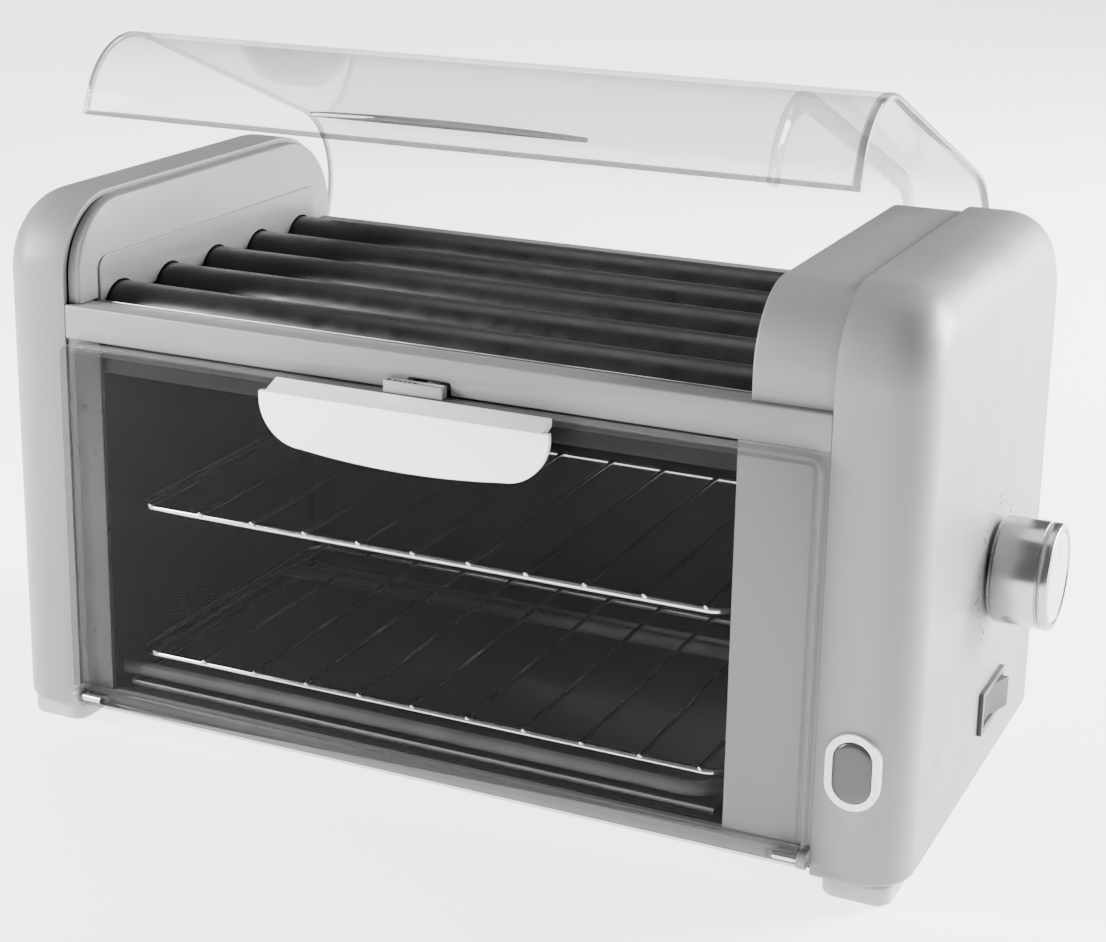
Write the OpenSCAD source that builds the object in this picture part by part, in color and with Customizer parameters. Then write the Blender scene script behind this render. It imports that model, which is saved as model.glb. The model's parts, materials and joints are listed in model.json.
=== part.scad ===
// Hot dog roller grill with a bun oven below its rollers.
// Millimetres. +Z is up, the front faces -Y and +X is to the right.
// The origin is the centre of the whole footprint, on the surface that the feet stand on.

/* [Overall] */
// Width over the two end shells
body_w = 424; // [380:1:520]
// Depth from the front plane to the back plane
body_d = 224; // [205:1:270]
// Height from the table to the top of the end shells
body_h = 246; // [220:1:300]
// Height of the feet
foot_h = 9; // [6:0.5:14]
// Depth of the roller bay, from the top of the shells down to the front rail
bay_h = 45.5; // [42:0.5:54]

/* [End shells] */
// Width of each end shell
shell_w = 37; // [34:1:46]
// Wall of the moulded covers
wall = 2.5; // [2:0.1:3]
// Radius of the front top corner, seen from the side
front_r = 35; // [28:1:40]
// Radius of the back top corner, seen from the side
back_r = 43; // [28:1:46]
// Radius of the soft outer edge of each shell
edge_r = 20; // [14:1:24]

/* [Front] */
// Height of the front rail
rail_h = 15.3; // [12:0.1:20]
// Depth of the front rail
rail_d = 15.5; // [12:0.5:20]
// Height of the lower sill
sill_h = 9; // [7:0.5:12]
// Gap between the bottom of the shells and the sill
sill_lift = 3.4; // [3:0.1:6]
// Width of the control side, from the shell to the oven
control_w = 37.6; // [36:0.1:50]
// Thickness of flat moulded panels
panel_t = 2.5; // [2:0.1:3]
// Thickness of sheet metal
sheet = 1; // [0.8:0.1:1.5]

/* [Rollers] */
// Radius of a roller tube
roller_r = 12.4; // [10:0.1:14]
// Depth of the roller axes below the top of the front rail
roller_drop = 7.9; // [5:0.1:10]
// Free gap round a roller where it passes a wall
roller_gap = 0.9; // [0.6:0.1:1.5]
// Radius of a roller's journals
journal_r = 5; // [4.5:0.1:6]
// Radial running clearance of every shaft in its bush
run_gap = 0.06; // [0.03:0.01:0.09]
// Radius of the heating rod inside each roller
rod_r = 2.8; // [2:0.1:3]

/* [Gears] */
// Teeth on a roller gear and on an idler gear
gear_teeth = 20; // [18:1:24]
// Teeth on the motor pinion
pinion_teeth = 14; // [13:1:16]
// Angle at which the idler gears hang below the line of rollers
mesh_angle = 35.25; // [30:0.25:38]
// Face width of the gears
gear_w = 7; // [5:0.5:9]
// Backlash at the pitch circle
backlash = 0.3; // [0.2:0.05:0.4]

/* [Oven] */
// Depth of the oven cavity behind its mouth
oven_d = 178; // [140:1:180]
// Height of the lower rack above the sill
rack_low = 14.2; // [12:0.2:20]
// Height from the lower rack to the upper rack
rack_gap = 70.8; // [50:0.2:80]
// Radius of the frame wire of a rack
rack_wire_r = 1.6; // [1.2:0.1:2]
// Radius of the cross wires of a rack
cross_wire_r = 1.2; // [0.8:0.1:1.5]
// Largest spacing of the cross wires
cross_step = 28; // [20:1:34]
// Radius of the tubular heater
heater_r = 3.2; // [2.5:0.1:3.4]

/* [Door] */
// Thickness of the clear door
door_t = 2.2; // [1.8:0.1:3]
// Depth of the rim behind the door's face
door_rim_d = 4.4; // [3:0.1:6]
// Width of the door's rim
door_rim_w = 4; // [3:0.1:6]
// Radius of the hinge bead along the bottom of the door
bead_r = 3.4; // [3:0.1:4]
// Radius of the door's hinge pins
door_pin_r = 1.75; // [1.2:0.05:2]
// Width of the handle plate
handle_w = 132; // [100:1:160]
// Height of the handle plate
handle_h = 25.6; // [22:0.1:30]
// Finger room behind the handle plate
handle_room = 7; // [6:0.5:9]

/* [Lid] */
// Thickness of the clear lid
lid_t = 2.2; // [1.8:0.1:2.6]
// Angle at which the lid stands open
lid_open = 21.3; // [0:0.1:60]
// Distance between the middles of the two lid hinges
hinge_span = 185.6; // [120:0.2:220]
// Radius of the lid's hinge pins
lid_pin_r = 2; // [1.5:0.1:2.5]
// Width of the finger lip on the lid
lip_w = 122; // [80:1:160]
// Reach of the finger lip
lip_reach = 7.5; // [5:0.5:10]

/* [Controls] */
// Radius of the timer knob
knob_r = 23; // [18:0.5:26]
// Length of the timer knob
knob_len = 25.4; // [20:0.2:32]
// Place of the knob behind the middle of the body
knob_y = 12.3; // [0:0.1:30]
// Height of the knob's axis
knob_z = 104.4; // [92:0.1:118]
// Radius of the timer shaft
shaft_r = 3; // [2.5:0.1:3.5]
// Length of the rocker switch's frame
rocker_l = 36.6; // [30:0.2:40]
// Height of the rocker switch's frame
rocker_h = 19.5; // [16:0.1:24]
// Place of the rocker switch behind the middle of the body
rocker_y = 18.4; // [10:0.1:30]
// Height of the rocker switch's middle
rocker_z = 40.7; // [36:0.1:48]
// Tilt of the rocker to each side of its middle
rocker_tilt = 10; // [6:1:12]
// Height of the middle of the indicator lens
lens_z = 57.9; // [45:0.1:80]
// Radius of the bore of the mains lead's gland
gland_r = 3.7; // [3:0.1:4.5]

/* [Hidden] */
ROLLERS = 5;
$fn = 48;
eps = 0.01;

plastic = "gainsboro";
dark = "#2b2b2d";
steel = "silver";
clear = [0.8, 0.85, 0.9, 0.35];

// Radius of the small screws and of their holes
screw_r = 1.5;

// Main planes of the body
x_out = body_w / 2;
x_in = x_out - shell_w;
y_front = -body_d / 2;
y_back = body_d / 2;
rail_z = body_h - bay_h;
rail_low = rail_z - rail_h;
floor_z = foot_h + wall;
base_t = 1.5;
base_top = floor_z + base_t;
panel_y = y_back - wall - 0.2;
sill_z = foot_h + sill_lift;
sill_top = sill_z + sill_h;

// Seats of the lid on the liner and on the motor cover
seat = lid_t + 0.3;
seat_back = 1.5;
liner_w = 5.5;
motor_w = 34.1;
x_liner = -x_in + liner_w;
x_cover = x_in - motor_w;

// Rollers and their tray
roller_z = rail_z - roller_drop;
tray_lip = 3.2;
tray_side = -y_front - rail_d - tray_lip;
tray_gap = 1.7;
roller_step = 2 * (tray_side - sheet - tray_gap - roller_r) / (ROLLERS - 1);
tray_z = roller_z - roller_r - 4.2 - sheet;
tube_left = -x_in - 3;
tube_right = x_cover + 5;
gear_x = x_cover + 8;
frame_right = x_cover + 20;
frame_left = -x_in - 10;
frame_t = 1.5;
frame_side = -y_front - rail_d - 2.5;
frame_top = rail_z + 10;
flange_low = tray_z + 1;
flange_high = rail_z + 5;
bush_r = 7.5;
bush_flange_r = 9;
bush_flange_t = 1.5;
bush_len = 6.5;
bush_left = frame_left - 2.5;
bush_right = frame_right - bush_flange_t;

// Gear train: rollers, idlers below and between them, pinion below the second idler
gear_r = roller_step / (4 * cos(mesh_angle));
module_mm = 2 * gear_r / gear_teeth;
pinion_r = module_mm * pinion_teeth / 2;
idler_z = roller_z - roller_step / 2 * tan(mesh_angle);
pinion_z = idler_z - gear_r - pinion_r;
pinion_y = roller_y(2) + roller_step / 2;
gear_pitch = 360 / gear_teeth;
gear_gap = 0.5;
idler_pin_r = 2.5;
motor_shaft_r = 2.5;
motor_r = 25;
motor_len = 17;
motor_screw_z = 31;

// Oven
oven_left = -x_in + 17.5;
oven_right = x_in - control_w;
oven_front = y_front + 3.5;
oven_back = oven_front + oven_d;
oven_floor = sill_top + sheet;
oven_top = tray_z - 4;
rack_low_z = sill_top + rack_low;
rack_front = y_front + 17.5;
rack_back = oven_back - 8;
rack_r = 10;
ledge_t = 1.2;

// Door
door_gap = 1.2;
door_front = y_front - 7;
door_half = x_in - door_gap;
door_top = rail_low - 0.4;
door_y = door_front + bead_r + 0.1;
door_z = sill_z + 5.1;
ear_t = 3.7;
handle_back = door_front - handle_room;
handle_front = handle_back - panel_t;
handle_top = door_top - 3.8;
post_x = 45;
post_z = handle_top - 6;

// Lid
hinge_z = rail_z - 8.5;
hinge_y = y_back;
skirt_z = hinge_z + 5;
panel_top = hinge_z - 6;
lid_low = rail_z + 0.6;
knuckle_r = 4.5;
knuckle_w = 8;
ear_gap = 0.4;
hinge_ear_t = 3;
lid_half = x_in - 0.3;

// Controls
knob_base = x_out + 1.6;
knob_end = knob_base + knob_len;
boss_r = 5.2;
pivot_x = x_out - 2.5;
rocker_pin_r = 1.2;
lens_x = x_in + 15.4;
lens_w = 16;
lens_h = 26;
bezel_w = 22;
bezel_h = 32;
gland_body_r = 7;

// The whole box at rest, which sets the origin
arc_y = y_back - back_r - hinge_y;
arc_z = body_h - back_r - hinge_z;
lid_back = hinge_y + arc_y * cos(lid_open) + arc_z * sin(lid_open) + back_r;
shift_x = (x_out - knob_end) / 2;
shift_y = -(lid_back + handle_front) / 2;

function roller_y(i) = (i - (ROLLERS + 1) / 2) * roller_step;

// Involute gear outline: angle between a tooth's middle and its flank at radius r
function inv(a) = tan(a) * 180 / PI - a;
function flank(r, rp, n) =
  90 / n - backlash / 4 / rp * 180 / PI + inv(20) - inv(acos(min(1, rp * cos(20) / r)));
function polar(r, a) = [r * cos(a), r * sin(a)];
function gear_points(n, rp, m) =
  let (root = rp - 1.25 * m, base = rp * cos(20), tip = rp + m)
  [for (i = [0 : n - 1]) let (mid = i * 360 / n) each [
    polar(root, mid - flank(base, rp, n)),
    polar(base, mid - flank(base, rp, n)),
    polar(rp, mid - flank(rp, rp, n)),
    polar(tip, mid - flank(tip, rp, n)),
    polar(tip, mid + flank(tip, rp, n)),
    polar(rp, mid + flank(rp, rp, n)),
    polar(base, mid + flank(base, rp, n)),
    polar(root, mid + flank(base, rp, n))
  ]];

// Puts a piece from the body's own middle into the part's frame
module placed() {
  translate([shift_x, shift_y, 0]) children();
}

// Extrudes a side outline (Y, Z) along +X
module along_x(x, length) {
  translate([x, 0, 0]) rotate([90, 0, 90]) linear_extrude(length) children();
}

// Extrudes a front outline (X, Z) along +Y
module along_y(y, length) {
  translate([0, y + length, 0]) rotate([90, 0, 0]) linear_extrude(length) children();
}

// Box from its low corner to its high corner
module block(low, high) {
  translate(low) cube(high - low);
}

// Round bar along X
module bar_x(x, y, z, length, r) {
  translate([x, y, z]) rotate([0, 90, 0]) cylinder(h = length, r = r);
}

// Round bar along Y
module bar_y(x, y, z, length, r) {
  translate([x, y, z]) rotate([-90, 0, 0]) cylinder(h = length, r = r);
}

// Side outline of the body: upright front, flat top and two round top corners
module side_outline(inset = 0, setback = 0, bottom = foot_h) {
  f = front_r - inset;
  b = back_r - inset;
  yf = y_front + inset + setback;
  yb = y_back - inset;
  zt = body_h - inset;
  intersection() {
    union() {
      translate([yf, foot_h]) square([yb - b - yf, zt - f - foot_h]);
      translate([yf + f, foot_h]) square([yb - b - yf - f, zt - foot_h]);
      translate([yb - b, foot_h]) square([b, zt - b - foot_h]);
      translate([yf + f, zt - f]) circle(f);
      translate([yb - b, zt - b]) circle(b);
    }
    translate([yf, bottom]) square([yb - yf, zt - bottom]);
  }
}

// Rectangle with round corners, centred
module round_rect(w, h, r) {
  square([w - 2 * r, h], center = true);
  square([w, h - 2 * r], center = true);
  for (x = [-1, 1], y = [-1, 1])
    translate([x * (w / 2 - r), y * (h / 2 - r)]) circle(r);
}

// Upright oval with straight sides
module oval(w, h) {
  round_rect(w, h, w / 2 - eps);
}

// Convex cap of the body's side outline with a soft outer edge, its flat side at X = 0
module cap(depth, inset, bottom) {
  edge = edge_r - inset;
  slice = 0.2;
  hull() {
    along_x(0, slice) side_outline(inset, bottom = bottom, $fn = 48);
    for (a = [0 : 15 : 90])
      along_x(depth - edge + edge * sin(a) - slice, slice)
        side_outline(inset + edge * (1 - cos(a)), bottom = bottom, $fn = 48);
  }
}

// Hollow end shell, open on its inner side
module end_shell() {
  difference() {
    cap(shell_w, 0, foot_h);
    translate([-1, 0, 0]) cap(shell_w - wall + 1, wall, floor_z);
  }
}

module left_shell() {
  color(plastic) placed() translate([-x_in, 0, 0]) mirror([1, 0, 0]) end_shell();
}

module right_shell() {
  color(plastic) placed() difference() {
    translate([x_in, 0, 0]) end_shell();
    bar_x(x_out - edge_r, knob_y, knob_z, edge_r + 1, boss_r);
    block([x_out - wall - 2, rocker_y - rocker_l / 2 + 2, rocker_z - rocker_h / 2 + 1.5],
          [x_out + 1, rocker_y + rocker_l / 2 - 2, rocker_z + rocker_h / 2 - 1.5]);
    along_y(y_front - 1, 8) translate([lens_x, lens_z]) oval(bezel_w, bezel_h);
  }
}

// Roller holes through a plate that stands across the rollers
module roller_holes(x, length, r) {
  for (i = [1 : ROLLERS]) bar_x(x, roller_y(i), roller_z, length, r);
}

module left_liner() {
  color(plastic) placed() difference() {
    union() {
      difference() {
        along_x(-x_in, liner_w) side_outline(seat, seat_back, rail_z);
        along_x(-x_in - 1, liner_w - wall + 1)
          side_outline(seat + wall, seat_back, rail_z - 1);
      }
      block([x_liner - wall, -frame_side, flange_low], [x_liner, frame_side, flange_high]);
    }
    roller_holes(-x_in - 1, liner_w + 2, roller_r + roller_gap);
  }
}

module left_bearing_panel() {
  low = rail_z - roller_drop - 2;
  high = rail_z + 18.2;
  color(plastic) placed() difference() {
    along_x(x_liner, sheet) translate([0, (low + high) / 2])
      round_rect(2 * frame_side - 1, high - low, 6);
    block([x_liner - 1, -frame_side - 1, low - 1], [x_liner + 2, frame_side + 1, rail_z - 2]);
    roller_holes(x_liner - 1, 3, roller_r + roller_gap - 0.2);
  }
}

module left_side_frame() {
  color(steel) placed() difference() {
    union() {
      block([frame_left, -frame_side, base_top], [frame_left + frame_t, frame_side, frame_top]);
      for (y = [-frame_side, frame_side - frame_t])
        block([frame_left, y, flange_low], [x_liner - wall, y + frame_t, flange_high]);
    }
    roller_holes(frame_left - 1, frame_t + 2, bush_r);
  }
}

module motor_cover() {
  color(plastic) placed() difference() {
    union() {
      difference() {
        along_x(x_cover, motor_w) side_outline(seat, seat_back, rail_z);
        along_x(x_cover + wall, motor_w)
          side_outline(seat + wall, seat_back, rail_z - 1);
      }
      block([x_cover, -frame_side, flange_low], [x_cover + wall, frame_side, flange_high]);
    }
    roller_holes(x_cover - 1, wall + 2, roller_r + roller_gap);
  }
}

module gear_side_frame() {
  color(steel) placed() difference() {
    union() {
      block([frame_right, -frame_side, base_top],
            [frame_right + frame_t, frame_side, frame_top]);
      for (y = [-frame_side, frame_side - frame_t])
        block([x_cover + wall, y, flange_low], [frame_right, y + frame_t, flange_high]);
    }
    roller_holes(frame_right - 1, frame_t + 2, bush_r);
    bar_x(frame_right - 1, pinion_y, pinion_z, frame_t + 2, motor_shaft_r + 3);
    for (i = [1 : ROLLERS - 1])
      bar_x(frame_right - 1, roller_y(i) + roller_step / 2, idler_z, frame_t + 2, idler_pin_r);
    for (i = [1, ROLLERS])
      bar_x(gear_x - gear_gap, roller_y(i), roller_z, gear_w + 2 * gear_gap,
            gear_r + module_mm + gear_gap);
  }
}

// Flanged bush whose flange lies against the inner face of its frame
module bush(x, flange_x) {
  difference() {
    union() {
      bar_x(x, 0, 0, bush_len, bush_r);
      bar_x(flange_x, 0, 0, bush_flange_t, bush_flange_r);
    }
    bar_x(x - 1, 0, 0, bush_len + 2, journal_r + run_gap);
  }
}

module roller_bushes() {
  color("white") placed() for (i = [1 : ROLLERS]) translate([0, roller_y(i), roller_z]) {
    bush(bush_left, frame_left + frame_t);
    bush(bush_right, bush_right);
  }
}

module idler_pins() {
  head = 2;
  color(steel) placed() for (i = [1 : ROLLERS - 1])
    translate([0, roller_y(i) + roller_step / 2, idler_z]) {
      bar_x(gear_x - 0.3 - head, 0, 0, frame_right + frame_t - gear_x + 0.3 + head, idler_pin_r);
      bar_x(gear_x - 0.3 - head, 0, 0, head, idler_pin_r + 1.5);
      bar_x(gear_x + gear_w + 0.3, 0, 0, frame_right - gear_x - gear_w - 0.3, idler_pin_r + 1.5);
    }
}

module front_rail() {
  notch_x = 5;
  notch_w = 19;
  back = y_front + rail_d;
  color(plastic) placed() difference() {
    along_x(-x_in, 2 * x_in) polygon([
      [y_front, rail_low], [y_front, rail_z], [back, rail_z - 0.8], [back, rail_low]]);
    block([notch_x - notch_w / 2, y_front - 1, rail_low - 1],
          [notch_x + notch_w / 2, y_front + 6, rail_low + 5.3]);
  }
}

// Ear that holds one end of a lid hinge pin
module hinge_ear(x) {
  difference() {
    union() {
      bar_x(x, hinge_y, hinge_z, hinge_ear_t, knuckle_r);
      block([x, hinge_y - 6, hinge_z - 4], [x + hinge_ear_t, hinge_y, hinge_z + knuckle_r]);
    }
    bar_x(x - 1, hinge_y, hinge_z, hinge_ear_t + 2, lid_pin_r);
  }
}

module rear_rail() {
  front = -y_front - rail_d;
  back = hinge_y - 5.5;
  color(plastic) placed() {
    block([-x_in, front, panel_top], [x_in, back, rail_z - 0.5]);
    difference() {
      block([-x_in, front, panel_top - 10], [x_in, panel_y, panel_top]);
      back_screw_places() bar_y(0, panel_y - 6, 0, 8, screw_r);
    }
    for (side = [-1, 1]) translate([side * hinge_span / 2, 0, 0]) {
      hinge_ear(-knuckle_w / 2 - ear_gap - hinge_ear_t);
      hinge_ear(knuckle_w / 2 + ear_gap);
    }
  }
}

module lid_hinge_pins() {
  reach = knuckle_w / 2 + ear_gap + hinge_ear_t;
  color(steel) placed() for (side = [-1, 1])
    bar_x(side * hinge_span / 2 - reach, hinge_y, hinge_z, 2 * reach, lid_pin_r);
}

// Ear that holds one of the door's hinge pins
module door_ear(x) {
  difference() {
    union() {
      bar_x(x, door_y, door_z, ear_t, bead_r + 0.2);
      block([x, door_y, door_z - bead_r], [x + ear_t, y_front + 1, door_z + bead_r]);
    }
    bar_x(x - 1, door_y, door_z, ear_t + 2, door_pin_r);
  }
}

module lower_sill() {
  color(plastic) placed() {
    block([-x_in, y_front + 0.5, sill_z], [x_in, y_front + 12, sill_top]);
    door_ear(-x_in + 0.1);
    door_ear(x_in - 0.1 - ear_t);
  }
}

module door_hinge_pins() {
  length = ear_t + 10;
  color(steel) placed() {
    bar_x(-x_in + 0.4, door_y, door_z, length, door_pin_r);
    bar_x(x_in - 0.4 - length, door_y, door_z, length, door_pin_r);
  }
}

module control_front_panel() {
  color(plastic) placed()
    block([oven_right, y_front + 1, sill_top], [x_in, y_front + 1 + panel_t, rail_low]);
}

module oven_surround() {
  color(plastic) placed()
    block([-x_in, y_front + 1, sill_top], [oven_left, y_front + 1 + panel_t, rail_low]);
}

module oven_cavity() {
  leg_w = 20;
  color(dark) placed() {
    difference() {
      block([oven_left - sheet, oven_front, oven_floor - sheet],
            [oven_right + sheet, oven_back + sheet, oven_top + sheet]);
      block([oven_left, oven_front - 1, oven_floor], [oven_right, oven_back, oven_top]);
    }
    block([oven_left - sheet, oven_front, oven_top + sheet],
          [oven_right + sheet, oven_front + sheet, rail_low]);
    for (x = [oven_left + leg_w, oven_right - 2 * leg_w], y = [oven_front + 14, oven_back - 30])
      block([x, y, base_top], [x + leg_w, y + leg_w, oven_floor - sheet]);
  }
}

module drip_tray() {
  lip = 3.2;
  deck = rail_z - 0.9;
  color(steel) placed() along_x(x_liner + sheet, x_cover - x_liner - sheet) difference() {
    polygon([
      [-tray_side, tray_z], [-tray_side, deck - lip], [-tray_side - lip, deck - 0.2],
      [-tray_side - lip, deck + sheet - 0.2], [-tray_side, deck - lip + sheet + 0.4],
      [tray_side, deck - lip + sheet + 0.4], [tray_side + lip, deck + sheet - 0.2],
      [tray_side + lip, deck - 0.2], [tray_side, deck - lip], [tray_side, tray_z]]);
    translate([-tray_side + sheet, tray_z + sheet])
      square([2 * (tray_side - sheet), rail_z]);
  }
}

// Two rows of vent slots in the back panel, below the rear rail, as a front outline
module vents(x) {
  slot_h = 26;
  row = 34;
  low = panel_top - 82;
  for (i = [0 : 7], j = [0 : 1]) translate([x + i * 9, low + j * row]) square([4, slot_h]);
}

module gland_place() {
  translate([x_in - 50, 0, base_top + 26]) children();
}

module back_screw_places() {
  for (x = [-x_in + 14, 0, x_in - 14], z = [base_top + 10, panel_top - 6])
    translate([x, 0, z]) children();
}

module back_panel() {
  color(plastic) placed() difference() {
    along_y(panel_y, wall) difference() {
      translate([-x_in, floor_z]) square([2 * x_in, panel_top - floor_z]);
      vents(x_in - 86);
      vents(-x_in + 20);
    }
    gland_place() bar_y(0, y_back - 6, 0, 8, gland_body_r);
    back_screw_places() bar_y(0, y_back - 6, 0, 8, screw_r);
  }
}

module back_screws() {
  color(steel) placed() back_screw_places() {
    bar_y(0, y_back - 5.5, 0, 5.3, screw_r);
    bar_y(0, y_back - 0.2, 0, 1.6, 3.5);
  }
}

// Base plate with an upturned back edge that takes the lower screws of the back panel
module base_plate() {
  edge = x_out - edge_r;
  color(steel) placed() {
    block([-edge, y_front + 12, floor_z], [edge, panel_y, base_top]);
    difference() {
      block([-x_in + 4, panel_y - base_t, base_top], [x_in - 4, panel_y, base_top + 16]);
      back_screw_places() bar_y(0, panel_y - 6, 0, 8, screw_r);
    }
  }
}

module feet() {
  foot_l = 34;
  foot_x = (x_in + 2.6 + x_out - 5.5) / 2;
  foot_w = shell_w - 8.1;
  color("darkgray") placed()
    for (side = [-1, 1], y = [y_front + 4 + foot_l / 2, y_back - 4 - foot_l / 2])
      translate([side * foot_x, y, 0]) linear_extrude(foot_h) round_rect(foot_w, foot_l, 7);
}

module crumb_tray() {
  margin = 6;
  lip = 2;
  low = [oven_left + margin, oven_front + 4, oven_floor];
  high = [oven_right - margin, oven_back - margin, oven_floor + sheet + lip];
  color(steel) placed() difference() {
    block(low, high);
    block(low + [sheet, sheet, sheet], high + [-sheet, -sheet, 1]);
  }
}

// Quarter bend of round wire in the XY plane, from +X towards +Y
module bend(radius, r) {
  rotate_extrude(angle = 90) translate([radius, 0]) circle(r);
}

module heater_lower() {
  z = rack_low_z - rack_wire_r - ledge_t - heater_r - 0.5;
  front = y_front + 13;
  back = oven_back - 30;
  right = oven_right - 8;
  bend_r = 14;
  color("dimgray") placed() {
    bar_x(oven_left, front, z, right - bend_r - oven_left, heater_r);
    bar_x(oven_left, back, z, right - bend_r - oven_left, heater_r);
    bar_y(right, front + bend_r, z, back - front - 2 * bend_r, heater_r);
    translate([right - bend_r, front + bend_r, z]) rotate(-90) bend(bend_r, heater_r);
    translate([right - bend_r, back - bend_r, z]) bend(bend_r, heater_r);
  }
}

// Wire rack whose frame wire's middle lies at height z
module rack(z) {
  left = oven_left + 1.5 + rack_wire_r;
  right = oven_right - 4 - rack_wire_r;
  rods = ceil((right - left - 2 * rack_r) / cross_step);
  step = (right - left - 2 * rack_r) / rods;
  for (y = [rack_front, rack_back])
    bar_x(left + rack_r, y, z, right - left - 2 * rack_r, rack_wire_r);
  for (x = [left, right])
    bar_y(x, rack_front + rack_r, z, rack_back - rack_front - 2 * rack_r, rack_wire_r);
  translate([left + rack_r, rack_front + rack_r, z]) rotate(180) bend(rack_r, rack_wire_r);
  translate([right - rack_r, rack_front + rack_r, z]) rotate(-90) bend(rack_r, rack_wire_r);
  translate([right - rack_r, rack_back - rack_r, z]) bend(rack_r, rack_wire_r);
  translate([left + rack_r, rack_back - rack_r, z]) rotate(90) bend(rack_r, rack_wire_r);
  for (i = [0 : rods]) translate([left + rack_r + i * step, 0, z + rack_wire_r]) {
    bar_y(0, rack_front - 1.2, 0, rack_back - rack_front + 2.4, cross_wire_r);
    translate([0, rack_front - 1.2, 0]) sphere(cross_wire_r);
    translate([0, rack_back + 1.2, 0]) sphere(cross_wire_r);
  }
}

module rack_lower() {
  color(steel) placed() rack(rack_low_z);
}

module rack_upper() {
  color(steel) placed() rack(rack_low_z + rack_gap);
}

module rack_ledges() {
  color(dark) placed() for (z = [rack_low_z, rack_low_z + rack_gap]) {
    block([oven_left, rack_front + 12, z - rack_wire_r - ledge_t],
          [oven_left + 5, rack_back - 4, z - rack_wire_r]);
    block([oven_right - 7, rack_front + 12, z - rack_wire_r - ledge_t],
          [oven_right, rack_back - 4, z - rack_wire_r]);
  }
}

module roller_heaters() {
  cap_len = 4;
  left = bush_left - cap_len;
  right = bush_right + bush_len + cap_len;
  color("whitesmoke") placed() for (i = [1 : ROLLERS])
    translate([0, roller_y(i), roller_z]) {
      bar_x(left, 0, 0, right - left, rod_r);
      bar_x(left, 0, 0, cap_len, 6.5);
      bar_x(right - cap_len, 0, 0, cap_len, 6.5);
    }
}

// Roller number i: a hollow tube with closed ends and a hollow journal at each end
module roller(i) {
  bevel = 0.8;
  end_t = 2;
  inner = roller_r - 1.2;
  bore = rod_r + 0.7;
  left = bush_left + 0.5;
  right = bush_right + bush_len - 0.5;
  color(dark) placed() translate([0, roller_y(i), roller_z]) rotate([0, 90, 0])
    rotate_extrude() polygon([
      [bore, left], [journal_r, left], [journal_r, tube_left],
      [roller_r - bevel, tube_left], [roller_r, tube_left + bevel],
      [roller_r, tube_right - bevel], [roller_r - bevel, tube_right],
      [journal_r, tube_right], [journal_r, right], [bore, right],
      [bore, tube_right - end_t], [inner, tube_right - end_t],
      [inner, tube_left + end_t], [bore, tube_left + end_t]]);
}

// Spur gear across X with its first tooth turned by phase from +Y towards +Z
module gear(n, rp, phase, bore) {
  along_x(gear_x, gear_w) difference() {
    rotate(phase) polygon(gear_points(n, rp, module_mm));
    circle(bore);
  }
}

// Turn of roller gear i, chosen so that every gear meshes with its neighbours
function roller_phase(i) = 4 * mesh_angle * (i - 1);
function idler_phase(i) = -2 * mesh_angle - roller_phase(i) + gear_pitch / 2;

module roller_gear(i) {
  color("ivory") placed() translate([0, roller_y(i), roller_z])
    gear(gear_teeth, gear_r, roller_phase(i), journal_r);
}

module idler_gear(i) {
  color("ivory") placed() translate([0, roller_y(i) + roller_step / 2, idler_z])
    gear(gear_teeth, gear_r, idler_phase(i), idler_pin_r + run_gap);
}

module motor_pinion() {
  offset_angle = idler_phase(2) + 90;
  phase = 90 - offset_angle * gear_teeth / pinion_teeth + 180 / pinion_teeth;
  color("ivory") placed() translate([0, pinion_y, pinion_z]) {
    gear(pinion_teeth, pinion_r, phase, 0.001);
    bar_x(gear_x + gear_w, 0, 0, frame_right - gear_x - gear_w + 12, motor_shaft_r);
  }
}

module drive_motor() {
  face = frame_right + frame_t;
  boss = motor_shaft_r + 3;
  color(steel) placed() translate([0, pinion_y, pinion_z]) difference() {
    union() {
      bar_x(face, 0, 0, motor_len, motor_r);
      bar_x(frame_right - 1, 0, 0, frame_t + 1, boss);
      for (side = [-1, 1])
        translate([face, 0, side * (motor_screw_z - 1)])
          block([0, -6, -6], [sheet, 6, 6]);
    }
    bar_x(frame_right - 2, 0, 0, 15, motor_shaft_r + run_gap);
    for (side = [-1, 1]) bar_x(face - 1, 0, side * motor_screw_z, 3, screw_r);
  }
}

module motor_screws() {
  face = frame_right + frame_t;
  color(steel) placed() for (side = [-1, 1])
    translate([face, pinion_y, pinion_z + side * motor_screw_z]) {
      bar_x(0, 0, 0, sheet, screw_r);
      bar_x(sheet, 0, 0, 2, 2 * screw_r);
    }
}

module timer_body() {
  half = 19;
  depth = 26;
  back = x_out - wall - depth;
  color(dark) placed() translate([0, knob_y, knob_z]) difference() {
    union() {
      block([back, -half, -half], [back + depth, half, half]);
      bar_x(back + depth, 0, 0, wall + 1, boss_r);
    }
    bar_x(back + 3, 0, 0, depth + wall + 2, shaft_r + run_gap);
  }
}

module timer_shaft() {
  start = x_out - wall - 22.5;
  color(steel) placed() bar_x(start, knob_y, knob_z, knob_end - 8 - start, shaft_r);
}

module timer_knob() {
  bevel = 2;
  groove = knob_len - 5.5;
  color(steel) placed() translate([knob_base, knob_y, knob_z]) rotate([0, 90, 0])
    rotate_extrude() polygon([
      [shaft_r, 0], [knob_r - 1.6, 0], [knob_r - 1.6, 1], [knob_r, 1.6],
      [knob_r, groove], [knob_r - 0.7, groove + 0.4], [knob_r - 0.7, groove + 0.9],
      [knob_r, groove + 1.3], [knob_r, knob_len - bevel], [knob_r - bevel, knob_len],
      [knob_r - 3.2, knob_len], [knob_r - 3.2, knob_len - 0.8],
      [0, knob_len - 0.8], [0, knob_len - 8], [shaft_r, knob_len - 8]]);
}

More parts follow.
